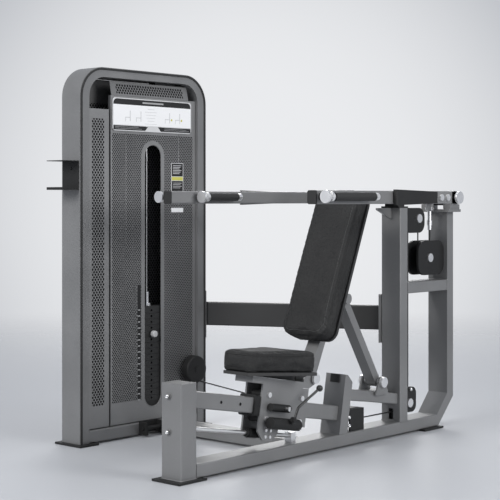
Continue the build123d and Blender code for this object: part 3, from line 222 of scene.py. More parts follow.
def coated(name, level, metallic, rough, grain=900.0, depth=0.00006, drift=0.10, scuffs=0.25, coat=0.0,
           shine=0.5):
    """Paint, powder coat or moulded plastic: drifting tone, orange-peel grain and faint scuffs."""
    mat, tree, shader = new_material(name)
    shader.inputs["Metallic"].default_value = metallic
    shader.inputs["Specular IOR Level"].default_value = shine
    shader.inputs["Coat Weight"].default_value = coat
    shader.inputs["Coat Roughness"].default_value = 0.25
    broad = noise(tree, 5.0, 4.0)
    fleck = noise(tree, grain, 2.0)
    base = mix(tree, remap(tree, broad, 0.3, 0.7), tone(level * (1 - drift)), tone(level * (1 + drift)))
    flecked = mix(tree, remap(tree, fleck, 0.35, 0.75, 0.0, 0.5), base, tone(level * 1.35))
    streak = noise(tree, 60.0, 8.0, (1.0, 0.25, 2.4))
    scuff = remap(tree, streak, 0.66, 0.80, 0.0, scuffs)
    tree.links.new(mix(tree, scuff, flecked, tone(level * 1.7)), shader.inputs["Base Color"])
    tree.links.new(remap(tree, broad, 0.2, 0.8, rough - 0.06, rough + 0.08), shader.inputs["Roughness"])
    bump(tree, shader, fleck, depth, 0.7)
    return mat


def polished(name, level, rough):
    """Chrome with faint handling marks."""
    mat, tree, shader = new_material(name)
    shader.inputs["Metallic"].default_value = 1.0
    haze = noise(tree, 30.0, 5.0)
    lines = noise(tree, 500.0, 3.0)
    tree.links.new(mix(tree, haze, tone(level * 0.92), tone(level, 0.01)), shader.inputs["Base Color"])
    smear = calc(tree, "MULTIPLY", haze, lines)
    tree.links.new(remap(tree, smear, 0.1, 0.4, rough, rough + 0.10), shader.inputs["Roughness"])
    bump(tree, shader, lines, 0.00002, 0.3)
    return mat


def vinyl_material():
    """Charcoal upholstery vinyl: pebbled grain, fine pores and softly polished high spots."""
    mat, tree, shader = new_material("vinyl_upholstery")
    shader.inputs["Specular IOR Level"].default_value = 0.07
    pebble = remap(tree, cells(tree, 420.0), 0.0, 0.25)
    crease = remap(tree, cells(tree, 130.0), 0.0, 0.10)
    pores = noise(tree, 1600.0, 2.0)
    broad = noise(tree, 7.0, 4.0)
    base = mix(tree, remap(tree, broad, 0.3, 0.7), tone(0.048), tone(0.066))
    tree.links.new(mix(tree, pebble, tone(0.012), base), shader.inputs["Base Color"])
    tree.links.new(remap(tree, broad, 0.25, 0.75, 0.60, 0.74), shader.inputs["Roughness"])
    height = calc(tree, "ADD", calc(tree, "MULTIPLY", pebble, 0.7), calc(tree, "MULTIPLY", pores, 0.3))
    bump(tree, shader, calc(tree, "ADD", height, calc(tree, "MULTIPLY", crease, 0.4)), 0.00022, 0.8)
    return mat


def thread_material():
    """Twisted upholstery thread."""
    mat, tree, shader = new_material("thread")
    twist = noise(tree, 1800.0, 1.0, (1, 0.4, 1))
    tree.links.new(mix(tree, twist, tone(0.06), tone(0.16)), shader.inputs["Base Color"])
    shader.inputs["Roughness"].default_value = 0.75
    bump(tree, shader, twist, 0.0001)
    return mat


def ribbed_rubber(name, level, pitch):
    """Grip rubber with moulded rings round its Y axis."""
    mat, tree, shader = new_material(name)
    split = tree.nodes.new("ShaderNodeSeparateXYZ")
    tree.links.new(place(tree), split.inputs[0])
    wave = calc(tree, "SINE", calc(tree, "MULTIPLY", split.outputs["Y"], 2 * math.pi / pitch))
    pores = noise(tree, 1200.0, 2.0)
    tree.links.new(mix(tree, remap(tree, wave, -1.0, 1.0), tone(level * 0.6), tone(level * 1.2)),
                   shader.inputs["Base Color"])
    tree.links.new(remap(tree, pores, 0.3, 0.7, 0.55, 0.75), shader.inputs["Roughness"])
    bump(tree, shader, calc(tree, "ADD", wave, calc(tree, "MULTIPLY", pores, 0.5)), 0.0006, 0.8)
    return mat


# ---------------------------------------------------------------- mesh helpers
def islands(node):
    """Boxes of a CAD node's separate solids, as (low, high) pairs, lowest Z first."""
    bm = bmesh.new()
    bm.from_mesh(nodes[node].data)
    bmesh.ops.remove_doubles(bm, verts=bm.verts, dist=1e-5)
    left = set(bm.verts)
    boxes = []
    while left:
        group, front = set(), [left.pop()]
        while front:
            vert = front.pop()
            group.add(vert)
            near = [e.other_vert(vert) for e in vert.link_edges]
            for other in near:
                if other in left:
                    left.discard(other)
                    front.append(other)
        low = Vector(min(v.co[i] for v in group) for i in range(3))
        high = Vector(max(v.co[i] for v in group) for i in range(3))
        boxes.append((low, high))
    bm.free()
    return sorted(boxes, key=lambda b: (round(b[0].z, 4), round(b[0].y, 4), round(b[0].x, 4)))


def make_object(name, bm, mat, body, smooth=True):
    """Turns bmesh geometry into a piece that rides on its body."""
    bmesh.ops.recalc_face_normals(bm, faces=bm.faces)
    mesh = bpy.data.meshes.new(name)
    bm.to_mesh(mesh)
    bm.free()
    mesh.materials.append(mat)
    for polygon in mesh.polygons:
        polygon.use_smooth = smooth
    piece = bpy.data.objects.new(name, mesh)
    bpy.context.scene.collection.objects.link(piece)
    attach(piece, body)
    return piece


def turned(bm, profile, matrix, sides=32):
    """Solid of revolution: profile is (radius, height) pairs about local Z, closed at both ends."""
    rings = []
    for radius, height in profile:
        ring = []
        for i in range(sides):
            angle = 2 * math.pi * i / sides
            point = Vector((radius * math.cos(angle), radius * math.sin(angle), height))
            ring.append(bm.verts.new(matrix @ point))
        rings.append(ring)
    for low, high in zip(rings, rings[1:]):
        for i in range(sides):
            bm.faces.new((low[i], low[(i + 1) % sides], high[(i + 1) % sides], high[i]))
    bm.faces.new(rings[0][::-1])
    bm.faces.new(rings[-1])


def facing(centre, axis):
    """Matrix that puts local Z along axis at centre."""
    return Matrix.Translation(centre) @ Vector(axis).to_track_quat("Z", "Y").to_matrix().to_4x4()


def tube_along(bm, points, radius, closed=True, sides=10, ripple=0.0, ripple_pitch=0.004):
    """Round bead or piping along points."""
    count = len(points)
    rings = []
    run = 0.0
    for i, point in enumerate(points):
        ahead = points[(i + 1) % count] if closed or i + 1 < count else point
        behind = points[i - 1] if closed or i > 0 else point
        direction = (ahead - behind).normalized()
        side = direction.cross(Z_AXIS if abs(direction.z) < 0.9 else X_AXIS).normalized()
        up = side.cross(direction)
        swell = radius * (1 + ripple * math.sin(2 * math.pi * run / ripple_pitch))
        rings.append([bm.verts.new(point + swell * (math.cos(a) * side + math.sin(a) * up))
                      for a in (2 * math.pi * k / sides for k in range(sides))])
        run += (ahead - point).length
    pairs = list(zip(rings, rings[1:]))
    if closed:
        pairs.append((rings[-1], rings[0]))
    for low, high in pairs:
        offset = 0
        if low is rings[-1]:
            offset = min(range(sides), key=lambda k: (high[k].co - low[0].co).length)
        for k in range(sides):
            bm.faces.new((low[k], low[(k + 1) % sides],
                          high[(k + 1 + offset) % sides], high[(k + offset) % sides]))
    if not closed:
        bm.faces.new(rings[0][::-1])
        bm.faces.new(rings[-1])


def slab(bm, corners, out, thickness):
    """Thin plate whose outline is corners, raised by thickness along out."""
    low = [bm.verts.new(c) for c in corners]
    high = [bm.verts.new(c + out * thickness) for c in corners]
    count = len(corners)
    bm.faces.new(low[::-1])
    bm.faces.new(high)
    for i in range(count):
        bm.faces.new((low[i], low[(i + 1) % count], high[(i + 1) % count], high[i]))


def rounded_outline(y0, y1, z0, z1, radii, x, steps=8):
    """Corners of a rounded rectangle facing +X; radii are for (low-low, high-low, high-high, low-high)."""
    places = [(y0, z0, math.pi), (y1, z0, 1.5 * math.pi), (y1, z1, 0.0), (y0, z1, 0.5 * math.pi)]
    points = []
    for (y, z, start), radius in zip(places, radii):
        centre_y = y + radius * (1 if y == y0 else -1)
        centre_z = z + radius * (1 if z == z0 else -1)
        if radius == 0:
            points.append(Vector((x, y, z)))
            continue
        for k in range(steps + 1):
            angle = start + 0.5 * math.pi * k / steps
            points.append(Vector((x, centre_y + radius * math.cos(angle),
                                  centre_z + radius * math.sin(angle))))
    return points


# ---------------------------------------------------------------- upholstery
VOXEL = 0.005
PAD_SHRINK = 0.003
PRESSURE = 4.0
FRAMES = 20


class PadShape:
    """A pad's own axes from its CAD solid: across, along and out of its main face."""

    def __init__(self, node, toward):
        totals = {}
        mesh = nodes[node].data
        for polygon in mesh.polygons:
            if polygon.normal.dot(toward) > 0.5:
                key = tuple(round(c, 3) for c in polygon.normal)
                totals[key] = totals.get(key, 0) + polygon.area
        self.out = Vector(max(totals, key=totals.get)).normalized()
        self.across = X_AXIS.copy()
        self.along = self.out.cross(self.across).normalized()
        flat = [self.flatten(v.co) for v in mesh.vertices]
        self.low = Vector(min(p[i] for p in flat) for i in range(3))
        self.high = Vector(max(p[i] for p in flat) for i in range(3))
        self.centre = (self.low + self.high) / 2

    def flatten(self, point):
        return Vector((point.dot(self.across), point.dot(self.along), point.dot(self.out)))

    def lift(self, local):
        return self.across * local.x + self.along * local.y + self.out * local.z


def settle(piece, modifier):
    """Applies what the piece's modifiers make of it."""
    graph = bpy.context.evaluated_depsgraph_get()
    made = bpy.data.meshes.new_from_object(piece.evaluated_get(graph))
    piece.modifiers.remove(modifier)
    piece.data = made


def inflate(piece, cap):
    """Swells the cover over its foam by cloth pressure; no point moves further than cap."""
    rest = [v.co.copy() for v in piece.data.vertices]
    cloth = piece.modifiers.new("Cloth", "CLOTH")
    cloth.settings.quality = 5
    cloth.settings.mass = 0.3
    cloth.settings.tension_stiffness = 15
    cloth.settings.compression_stiffness = 15
    cloth.settings.use_pressure = True
    cloth.settings.uniform_pressure_force = PRESSURE
    cloth.settings.effector_weights.gravity = 0
    for number in range(1, FRAMES + 1):
        bpy.context.scene.frame_set(number)
    settle(piece, cloth)
    bpy.context.scene.frame_set(1)
    for vertex, start in zip(piece.data.vertices, rest):
        step = vertex.co - start
        if step.length > cap:
            vertex.co = start + step.normalized() * cap


def make_pad(name, node, toward, cap, body, vinyl, welt, thread, seam_levels):
    """Cushion from its CAD solid: swelled cover, welted seams and a row of top stitching."""
    shape = PadShape(node, toward)
    mesh = nodes[node].data.copy()
    size = shape.high - shape.low
    for vertex in mesh.vertices:
        local = shape.flatten(vertex.co) - shape.centre
        local = Vector(local[i] * (1 - 2 * PAD_SHRINK / size[i]) for i in range(3))
        vertex.co = shape.lift(local + shape.centre)
    piece = bpy.data.objects.new(name, mesh)
    bpy.context.scene.collection.objects.link(piece)
    remesh = piece.modifiers.new("Remesh", "REMESH")
    remesh.mode = "VOXEL"
    remesh.voxel_size = VOXEL
    settle(piece, remesh)
    smoothing = piece.modifiers.new("Smooth", "SMOOTH")
    smoothing.factor = 0.5
    smoothing.iterations = 6
    settle(piece, smoothing)
    inflate(piece, cap)
    divided = piece.modifiers.new("Subdivision", "SUBSURF")
    divided.levels = 1
    settle(piece, divided)
    base = shape.low.z
    levels = [base + (size.z * share) for share in seam_levels]
    for vertex in piece.data.vertices:
        local = shape.flatten(vertex.co)
        local.z = max(local.z, base)
        radial = Vector((local.x - shape.centre.x, local.y - shape.centre.y))
        pinch = sum(math.exp(-((local.z - level) / 0.0055) ** 2) for level in levels)
        near_edge = max(abs(radial.x) / (size.x / 2), abs(radial.y) / (size.y / 2))
        if near_edge > 0.8:
            pull = 0.0024 * pinch
            local.x -= math.copysign(pull, radial.x) if abs(radial.x) > size.x * 0.42 else 0
            local.y -= math.copysign(pull, radial.y) if abs(radial.y) > size.y * 0.42 else 0
        vertex.co = shape.lift(local)
    piece.data.materials.clear()
    piece.data.materials.append(vinyl)
    for polygon in piece.data.polygons:
        polygon.use_smooth = True
        polygon.material_index = 0
    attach(piece, body)
    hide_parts(node)
    add_seams(name, piece, shape, levels, welt, thread, body)
    return piece


def outline_at(tree, shape, level, inset=0.0, count=240):
    """Points where the cover's surface crosses a level, found by looking in from outside."""
    points = []
    for i in range(count):
        angle = 2 * math.pi * i / count
        half = (shape.high - shape.low) / 2
        # evenly spread targets on a superellipse keep the spacing even along long straight sides
        c, s = math.cos(angle), math.sin(angle)
        reach = (abs(c) ** 4 + abs(s) ** 4) ** -0.25
        target = Vector((shape.centre.x + half.x * c * reach * 0.35,
                         shape.centre.y + half.y * s * reach * 0.35, level))
        outside = Vector((shape.centre.x + half.x * c * reach * 1.6,
                          shape.centre.y + half.y * s * reach * 1.6, level))
        direction = shape.lift(target - outside).normalized()
        hit = tree.ray_cast(shape.lift(outside), direction)[0]
        if hit is not None:
            points.append(hit + direction * inset)
    return points


def add_seams(name, piece, shape, levels, welt, thread, body):
    """Welt piping at each seam level, and stitches on the main face just inside its edge."""
    tree = BVHTree.FromObject(piece, bpy.context.evaluated_depsgraph_get())
    bm = bmesh.new()
    for level in levels:
        tube_along(bm, outline_at(tree, shape, level, inset=0.0004), 0.0021, sides=8)
    make_object(f"{name}_piping", bm, welt, body)
    top = levels[-1]
    edge = outline_at(tree, shape, top, count=720)
    loop = []
    for point in edge:
        local = shape.flatten(point)
        centre = Vector((shape.centre.x, shape.centre.y))
        radial = Vector((local.x, local.y)) - centre
        half = (shape.high - shape.low) / 2
        share = Vector((1 - 0.013 / half.x, 1 - 0.013 / half.y))
        spot = centre + Vector((radial.x * share.x, radial.y * share.y))
        start = shape.lift(Vector((spot.x, spot.y, shape.high.z + 0.1)))
        hit = tree.ray_cast(start, -shape.out)[0]
        if hit is not None:
            loop.append(hit)
    bm = bmesh.new()
    stitch, gap, run = 0.0048, 0.0026, 0.0
    begin = None
    for a, b in zip(loop, loop[1:] + loop[:1]):
        if begin is None and run >= gap:
            begin, run = a, 0.0
        run += (b - a).length
        if begin is not None and run >= stitch:
            middle = (begin + b) / 2 + shape.out * 0.0002
            ends = [begin - shape.out * 0.0005, middle, b - shape.out * 0.0005]
            tube_along(bm, ends, 0.0006, closed=False, sides=6)
            begin, run = None, 0.0
    make_object(f"{name}_stitching", bm, thread, body)


# ---------------------------------------------------------------- perforated sheet
STACK_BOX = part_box("weight_plates")
# the slot is centred on the stack and starts a little below its lowest plate
SLOT_CENTRE_Y = (STACK_BOX[0].y + STACK_BOX[1].y) / 2
SLOT_HALF = 0.048
SLOT_BELOW_STACK = 0.022
SLOT_LENGTH = 1.116
SLOT_LOW = STACK_BOX[0].z - SLOT_BELOW_STACK
SLOT_HIGH = SLOT_LOW + SLOT_LENGTH
# plain metal left round the slot
SLOT_MARGIN = 0.020
SHEET_METALLIC = 0.35


def hole_field(tree, y, z, pitch_y, pitch_z, radius):
    """1 inside a staggered pattern of round holes, 0 on the metal."""
    def lattice(shift_y, shift_z):
        steps_y = calc(tree, "FRACT", calc(tree, "ADD", calc(tree, "DIVIDE", y, pitch_y), shift_y))
        steps_z = calc(tree, "FRACT", calc(tree, "ADD", calc(tree, "DIVIDE", z, pitch_z), shift_z))
        dy = calc(tree, "MULTIPLY", calc(tree, "SUBTRACT", steps_y, 0.5), pitch_y)
        dz = calc(tree, "MULTIPLY", calc(tree, "SUBTRACT", steps_z, 0.5), pitch_z)
        squares = calc(tree, "ADD", calc(tree, "MULTIPLY", dy, dy), calc(tree, "MULTIPLY", dz, dz))
        return calc(tree, "SQRT", squares)
    nearest = calc(tree, "MINIMUM", lattice(10.0, 10.0), lattice(10.5, 10.5))
    return remap(tree, nearest, radius + 0.0003, radius - 0.0003)


def inside(tree, value, low, high):
    above = calc(tree, "GREATER_THAN", value, low)
    below = calc(tree, "LESS_THAN", value, high)
    return calc(tree, "MULTIPLY", above, below)


def perforated(name, level, fields, slot_margin=False):
    """Coated sheet with punched holes; fields are (y0, y1, z0, z1, pitch_y, pitch_z, radius)."""
    mat = coated(name, level, SHEET_METALLIC, 0.44, drift=0.12, scuffs=0.15)
    tree = mat.node_tree
    shader = tree.nodes["Principled BSDF"]
    split = tree.nodes.new("ShaderNodeSeparateXYZ")
    tree.links.new(place(tree), split.inputs[0])
    y, z = split.outputs["Y"], split.outputs["Z"]
    holes = 0.0
    for y0, y1, z0, z1, pitch_y, pitch_z, radius in fields:
        here = calc(tree, "MULTIPLY", inside(tree, y, y0, y1), inside(tree, z, z0, z1))
        field = calc(tree, "MULTIPLY", here, hole_field(tree, y, z, pitch_y, pitch_z, radius))
        holes = calc(tree, "MAXIMUM", holes, field)
    if slot_margin:
        middle = (SLOT_LOW + SLOT_HIGH) / 2
        straight = (SLOT_HIGH - SLOT_LOW) / 2 - SLOT_HALF
        beyond = calc(tree, "SUBTRACT", calc(tree, "ABSOLUTE", calc(tree, "SUBTRACT", z, middle)), straight)
        up = calc(tree, "MAXIMUM", beyond, 0.0)
        out = calc(tree, "SUBTRACT", y, SLOT_CENTRE_Y)
        squares = calc(tree, "ADD", calc(tree, "MULTIPLY", up, up), calc(tree, "MULTIPLY", out, out))
        clear = calc(tree, "GREATER_THAN", calc(tree, "SQRT", squares), SLOT_HALF + SLOT_MARGIN)
        holes = calc(tree, "MULTIPLY", holes, clear)
    colour = shader.inputs["Base Color"].links[0].from_socket
    tree.links.new(mix(tree, holes, colour, tone(0.004)), shader.inputs["Base Color"])
    metal = calc(tree, "SUBTRACT", 1.0, holes)
    tree.links.new(calc(tree, "MULTIPLY", metal, SHEET_METALLIC), shader.inputs["Metallic"])
    rough = shader.inputs["Roughness"].links[0].from_socket
    tree.links.new(calc(tree, "MAXIMUM", rough, holes), shader.inputs["Roughness"])
    bump(tree, shader, metal, 0.0012, 0.9)
    return mat


# ---------------------------------------------------------------- finishes on the CAD nodes
# where the pin's handle, the lever's knob and the tower's cable run start
PIN_SPLIT_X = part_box("selector_pin")[1].x - 0.022
KNOB_SPLIT_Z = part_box("release_lever")[1].z - 0.034
TOWER_RUN_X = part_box("tower_frame")[1].x + 0.02


def two_tone(name, level_low, level_high, axis, split_at, metal_low, metal_high):
    """One part in two finishes that meet at a plane: below split_at and above it."""
    mat, tree, shader = new_material(name)
    split = tree.nodes.new("ShaderNodeSeparateXYZ")
    tree.links.new(place(tree), split.inputs[0])
    above = calc(tree, "GREATER_THAN", split.outputs[axis], split_at)
    grain = noise(tree, 700.0, 3.0)
    low = mix(tree, grain, tone(level_low * 0.85), tone(level_low * 1.1))
    high = mix(tree, grain, tone(level_high * 0.85), tone(level_high * 1.1))
    tree.links.new(mix(tree, above, low, high), shader.inputs["Base Color"])
    tree.links.new(remap(tree, above, 0.0, 1.0, metal_low, metal_high), shader.inputs["Metallic"])
    tree.links.new(remap(tree, grain, 0.3, 0.7, 0.22, 0.36), shader.inputs["Roughness"])
    bump(tree, shader, grain, 0.00004, 0.6)
    return mat


def finish_nodes():
    powder = coated("grey_powder_coat", 0.215, 0.40, 0.38)
    black = coated("black_powder_coat", 0.018, 0.10, 0.46, grain=800.0, shine=0.3)
    moulded = coated("moulded_black", 0.015, 0.0, 0.50, grain=420.0, depth=0.00012, scuffs=0.12, shine=0.3)
    iron = coated("stack_iron", 0.030, 0.3, 0.5, grain=300.0, depth=0.0003, scuffs=0.5)
    rubber = coated("black_rubber", 0.017, 0.0, 0.7, grain=600.0, depth=0.0002, scuffs=0.2)
    # the mid beam is the frame's powder coat, darkened to stand for the shade that falls on it: painted
    # shade
    beam_painted_shade = coated("painted_shade_beam", 0.030, 0.30, 0.46)
    cable_finish = two_tone("cable_finish", 0.62, 0.020, "X", TOWER_RUN_X, 0.9, 0.0)
    board = coated("pad_board", 0.024, 0.0, 0.6, grain=350.0, depth=0.0003, scuffs=0.3)
    card = coated("placard_card", 0.62, 0.0, 0.35, grain=1500.0, depth=0.00002, drift=0.03,
                  scuffs=0.05, coat=0.4)
    chrome = polished("chrome", 0.90, 0.12)
    cap_chrome = polished("satin_chrome_caps", 0.97, 0.30)
    main_low, main_high = panel_box(wide=True)
    strip_low, strip_high = panel_box(wide=False)
    deck_low, deck_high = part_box("top_deck")
    rear_low, rear_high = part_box("rear_panel")
    edge = 0.017
    fine = (0.0105, 0.0150, 0.0035)
    coarse = (0.0150, 0.0210, 0.0050)
    holes_low, holes_high = main_low.z + 0.090, main_high.z - 0.158
    front = perforated("perforated_front", 0.235, [
        (main_low.y + edge * 0.5, main_high.y - edge, holes_low, holes_high, *fine),
        (strip_low.y + 0.026, strip_high.y - 0.026, strip_low.z + 0.09, strip_high.z - 0.04, *coarse),
    ], slot_margin=True)
    deck = perforated("perforated_deck", 0.19, [
        (deck_low.y + 0.03, deck_high.y - 0.03, deck_low.z + 0.008, deck_high.z - 0.008, *coarse)])
    rear = perforated("perforated_rear", 0.10, [
        (rear_low.y + 0.07, rear_high.y - 0.07, rear_low.z + 0.08, rear_high.z - 0.10, *coarse)])
    by_slot = {
        "powder_coat": powder, "black_steel": black, "black_plastic": moulded, "stack_plate": iron,
        "chrome": chrome, "rubber": rubber, "placard_face": card, "cable_steel": cable_finish,
        "perforated_panel": front,
    }
    by_node = {
        "top_deck": deck, "rear_panel": rear, "seat_board": board, "back_board": board,
        "guide_rods": cap_chrome, "guide_rod_set": cap_chrome, "arm_chrome": cap_chrome,
        "carriage_pins": cap_chrome, "handle_bars": cap_chrome, "cable_swivel": cap_chrome,
        "mid_beam": beam_painted_shade, "frame_shafts": cap_chrome, "carriage_rollers": rubber,
        "grips_and_plugs": ribbed_rubber("ribbed_grip", 0.016, 0.0055),
        "selector_pin": two_tone("selector_pin_finish", 0.6, 0.55, "X", PIN_SPLIT_X, 1.0, 0.0),
        "release_lever": two_tone("release_lever_finish", 0.016, 0.022, "Z", KNOB_SPLIT_Z, 0.0, 0.0),
        "tower_trim": rubber,
    }
    slots = {row["node"]: row["material_slot"] for row in frame["record"]["subparts"]}
    for node, obj in nodes.items():
        mat = by_node.get(node) or by_slot.get(slots[node], powder)
        for index in range(max(1, len(obj.data.materials))):
            if index < len(obj.data.materials):
                obj.data.materials[index] = mat
            else:
                obj.data.materials.append(mat)
    return {"powder": powder, "chrome": chrome}


def panel_box(wide):
    """Box of the slotted main panel, or of the narrow strip beside it."""
    return sorted(islands("front_panels"), key=lambda b: b[1].y - b[0].y)[-1 if wide else 0]




# ---------------------------------------------------------------- placard, labels and scale
INK = 0.00018


def printed(name, level, hue=None):
    """Screen-printed ink: an even tone with a slight mottle."""
    mat, tree, shader = new_material(name)
    mottle = noise(tree, 260.0, 3.0)
    if hue is None:
        low, high = tone(level * 0.93), tone(level * 1.05)
    else:
        low = (hue[0] * 0.92, hue[1] * 0.92, hue[2] * 0.92, 1)
        high = (*hue, 1)
    tree.links.new(mix(tree, mottle, low, high), shader.inputs["Base Color"])
    tree.links.new(remap(tree, mottle, 0.3, 0.7, 0.35, 0.45), shader.inputs["Roughness"])
    bump(tree, shader, mottle, 0.00001, 0.2)
    return mat


def print_shapes(name, outlines, mat):
    bm = bmesh.new()
    for outline in outlines:
        slab(bm, outline, X_AXIS, INK)
    return make_object(name, bm, mat, "root", smooth=False)


def bar(x, y0, y1, z0, z1):
    return [Vector((x, y0, z0)), Vector((x, y1, z0)), Vector((x, y1, z1)), Vector((x, y0, z1))]


def make_placard():
    plates = sorted(islands("instruction_plates"), key=lambda b: (b[1].y - b[0].y) * (b[1].z - b[0].z))
    white_label, warning, scale, placard = plates[0], plates[2], plates[1], plates[3]
    if (warning[1].z - warning[0].z) > 0.3:
        warning, scale = scale, warning
    black = printed("ink_black", 0.010)
    white = printed("ink_white", 0.93)
    grey = printed("ink_grey", 0.40)
    pale = printed("ink_pale_grey", 0.62)
    yellow = printed("ink_yellow", 0.5, hue=(0.62, 0.60, 0.12))
    low, high = placard
    face = high.x
    y0, y1, z0, z1 = low.y, high.y, low.z, high.z
    height = z1 - z0
    header = z1 - 0.20 * height
    field = z0 + 0.185 * height
    rim, corner = 0.004, 0.020
    print_shapes("placard_header", [rounded_outline(
        y0 + rim, y1 - rim, header, z1 - rim, (0, 0, corner, corner), face)], black)
    print_shapes("placard_field", [bar(face, y0 + rim, y1 - rim, field, header)], white)
    tab0, tab1 = y0 + 0.40 * (y1 - y0), y0 + 0.60 * (y1 - y0)
    strips = [
        [Vector((face, y0 + rim, z0 + rim)), Vector((face, tab0, z0 + rim)),
         Vector((face, tab0 + 0.018, field - 0.003)), Vector((face, y0 + rim, field - 0.003))],
        [Vector((face, tab1, z0 + rim)), Vector((face, y1 - rim, z0 + rim)),
         Vector((face, y1 - rim, field - 0.003)), Vector((face, tab1 - 0.018, field - 0.003))],
    ]
    print_shapes("placard_strips", strips, black)
    on_ink = face + INK
    middle = (y0 + y1) / 2
    header_mid = (header + z1 - rim) / 2
    print_shapes("placard_header_bar", [bar(on_ink, middle - 0.062, middle + 0.062,
                                            header_mid - 0.0034, header_mid + 0.0034)], grey)
    rules = []
    for row in range(7):
        z = header - 0.014 - row * 0.0125
        half = 0.020 + 0.016 * ((row * 3) % 4) / 3
        rules.append(bar(on_ink, middle - 0.012 - half, middle - 0.012 + half, z - 0.0008, z + 0.0008))
    for side in (-1, 1):
        for step in range(2):
            # a plain seat-and-back outline stands for each exercise diagram
            y = middle + side * (0.085 + 0.062 * step)
            z = (header + field) / 2 - 0.012
            rules.append(bar(on_ink, y - 0.014, y + 0.012, z, z + 0.003))
            rules.append(bar(on_ink, y + 0.012, y + 0.016, z - 0.014, z + 0.030))
            rules.append(bar(on_ink, y - 0.014, y - 0.011, z - 0.016, z))
    print_shapes("placard_rules", rules, pale)
    dots = []
    for y in (y0 + 0.74 * (y1 - y0), y0 + 0.87 * (y1 - y0)):
        z = field + 0.36 * (header - field)
        dots.append([Vector((on_ink, y + 0.005 * math.cos(a), z + 0.005 * math.sin(a)))
                     for a in (2 * math.pi * k / 20 for k in range(20))])
    print_shapes("placard_dots", dots, yellow)
    small = []
    for start, end in ((y0 + 0.014, tab0 - 0.020), (tab1 + 0.020, y1 - 0.014)):
        for row in range(3):
            z = z0 + rim + 0.006 + row * 0.0062
            small.append(bar(on_ink, start, end - 0.018 * row, z - 0.0007, z + 0.0007))
    print_shapes("placard_strip_rules", small, grey)
    low, high = warning
    height = high.z - low.z
    face = high.x
    edge = 0.003
    print_shapes("label_black", [
        bar(face, low.y + edge, high.y - edge, high.z - 0.46 * height, high.z - 0.02 * height),
        bar(face, low.y + edge, high.y - edge, low.z + 0.02 * height, high.z - 0.62 * height)], black)
    print_shapes("label_yellow", [
        bar(face, low.y + edge, high.y - edge, high.z - 0.60 * height, high.z - 0.48 * height)], yellow)
    lines = [bar(face + INK, low.y + 0.010, high.y - 0.012 - 0.006 * (k % 3),
                 high.z - (0.10 + 0.055 * k) * height, high.z - (0.08 + 0.055 * k) * height)
             for k in range(6)]
    lines += [bar(face + INK, low.y + 0.010, high.y - 0.010 - 0.008 * (k % 2),
                  high.z - (0.70 + 0.055 * k) * height, high.z - (0.685 + 0.055 * k) * height)
              for k in range(4)]
    print_shapes("label_rules", lines, pale)
    low, high = white_label
    rim = 0.002
    print_shapes("label_white", [bar(high.x, low.y + rim, high.y - rim, low.z + rim, high.z - rim)], white)
    low, high = scale
    plate_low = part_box("weight_plates")[0].z
    plate_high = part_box("lifted_plates")[1].z
    count = 16
    pitch = (plate_high - plate_low) / count
    middle = (low.y + high.y) / 2
    print_shapes("stack_scale_strip", [bar(high.x, low.y, high.y, low.z, high.z)], black)
    ticks = []
    for k in range(count):
        z = plate_low + pitch * (k + 0.5)
        half = 0.006 if k % 2 else 0.008
        ticks.append(bar(high.x + INK, middle - half, middle + half, z - 0.0022, z + 0.0022))
    print_shapes("stack_scale_marks", ticks, grey)


def make_panel_folds():
    """Vertical fold lines pressed into the main panel, and the rolled edge round its slot."""
    low, high = panel_box(wide=True)
    bm = bmesh.new()
    fold_y = low.y + 0.086
    for y in (fold_y, 2 * SLOT_CENTRE_Y - fold_y):
        tube_along(bm, [Vector((high.x - 0.0006, y, z)) for z in (0.76, 0.95, 1.15, high.z - 0.15)],
                   0.0016, closed=False, sides=8)
    straight_low, straight_high = SLOT_LOW + SLOT_HALF, SLOT_HIGH - SLOT_HALF
    ring = []
    for k in range(33):
        angle = math.pi * k / 32
        ring.append(Vector((high.x - 0.0004, SLOT_CENTRE_Y + (SLOT_HALF + 0.002) * math.cos(angle),
                            straight_high + (SLOT_HALF + 0.002) * math.sin(angle))))
    for k in range(33):
        angle = math.pi + math.pi * k / 32
        ring.append(Vector((high.x - 0.0004, SLOT_CENTRE_Y + (SLOT_HALF + 0.002) * math.cos(angle),
                            straight_low + (SLOT_HALF + 0.002) * math.sin(angle))))
    tube_along(bm, ring, 0.0022, sides=8)
    return bm


# ---------------------------------------------------------------- bolts and welds
def button_head(bm, centre, axis, radius):
    """Domed bolt head with a round socket recess, standing on centre."""
    height = radius * 0.55
    matrix = facing(centre, axis)
    profile = [(radius, 0.0), (radius, height * 0.35), (radius * 0.90, height * 0.75),
               (radius * 0.70, height)]
    rim = [(radius * 0.48, height), (radius * 0.46, height * 0.35)]
    turned(bm, profile + rim, matrix, sides=36)


def make_bolts(zinc):
    bm = bmesh.new()
    for low, high in islands("frame_fasteners"):
        size = high - low
        thin = min(range(3), key=lambda i: size[i])
        if size[thin] > 0.016 or max(size) > 0.040:
            continue
        centre = (low + high) / 2
        if thin == 0:
            outward = X_AXIS if centre.x > 0 else -X_AXIS
        elif thin == 1:
            outward = Y_AXIS if centre.y > 0.8 else -Y_AXIS
        else:
            outward = Z_AXIS
        top = centre + outward * size[thin] / 2
        button_head(bm, top - outward * 0.0002, outward, 0.0075)
    make_object("bolt_heads", bm, zinc, "root")


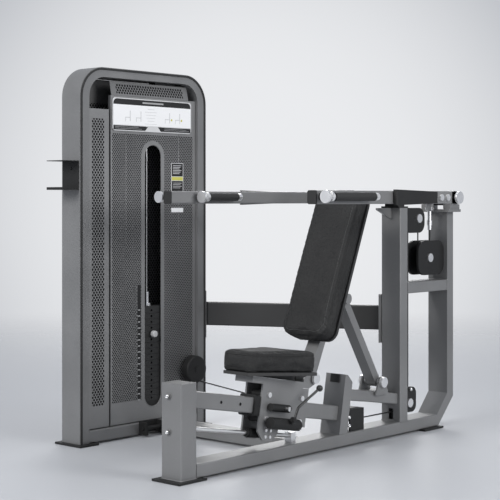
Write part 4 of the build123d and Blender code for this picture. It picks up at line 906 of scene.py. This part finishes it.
def weld_ring(bm, centre, along, half_a, axis_a, half_b, axis_b, corner=0.004, bead=0.0026):
    """Bead round a rectangular tube where it meets its neighbour, centred on the joint plane."""
    points = []
    step = 0.0022
    quarter = [math.pi / 2 * k / 5 for k in range(6)]
    for turn, (sign_a, sign_b) in enumerate(((1, 1), (-1, 1), (-1, -1), (1, -1))):
        origin = centre + axis_a * sign_a * (half_a - corner) + axis_b * sign_b * (half_b - corner)
        for q in quarter:
            angle = turn * math.pi / 2 + q
            points.append(origin + corner * (math.cos(angle) * axis_a + math.sin(angle) * axis_b))
    dense = []
    for a, b in zip(points, points[1:] + points[:1]):
        count = max(1, int((b - a).length / step))
        dense += [a.lerp(b, k / count) for k in range(count)]
    tube_along(bm, dense, bead, sides=6, ripple=0.10, ripple_pitch=0.0066)


def make_welds(powder):
    bm = bmesh.new()
    low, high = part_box("frame_crossbar")
    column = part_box("main_column")
    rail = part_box("base_rail")
    middle_z = (low.z + high.z) / 2
    for y in (low.y, high.y):
        weld_ring(bm, Vector((0, y, middle_z)), Y_AXIS, high.x, X_AXIS, (high.z - low.z) / 2, Z_AXIS)
    foot = Vector((0, (column[0].y + column[1].y) / 2, rail[1].z))
    weld_ring(bm, foot, Z_AXIS, column[1].x, X_AXIS, (column[1].y - column[0].y) / 2, Y_AXIS)
    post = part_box("front_post")
    weld_ring(bm, Vector((0, post[1].y, (rail[0].z + rail[1].z) / 2)), Y_AXIS,
              rail[1].x, X_AXIS, (rail[1].z - rail[0].z) / 2, Z_AXIS)
    weld_ring(bm, Vector((0, (post[0].y + post[1].y) / 2, post[0].z)), Z_AXIS,
              post[1].x, X_AXIS, (post[1].y - post[0].y) / 2, Y_AXIS)
    make_object("weld_beads", bm, powder, "root")


# ---------------------------------------------------------------- build
make_camera()
make_lights()
make_world()
make_floor()
finishes = finish_nodes()
make_placard()
make_object("panel_folds", make_panel_folds(), finishes["powder"], "root")
make_bolts(finishes["chrome"])
make_welds(finishes["powder"])
vinyl = vinyl_material()
welt = coated("welt_piping", 0.006, 0.0, 0.7, grain=900.0)
thread = thread_material()
make_pad("seat_cushion", "seat_pad", Z_AXIS, 0.007, "carriage", vinyl, welt, thread, (0.16, 0.84))
make_pad("back_cushion", "back_pad", -Y_AXIS, 0.007, "backrest", vinyl, welt, thread, (0.16, 0.84))

bpy.context.scene.view_settings.view_transform = "Standard"
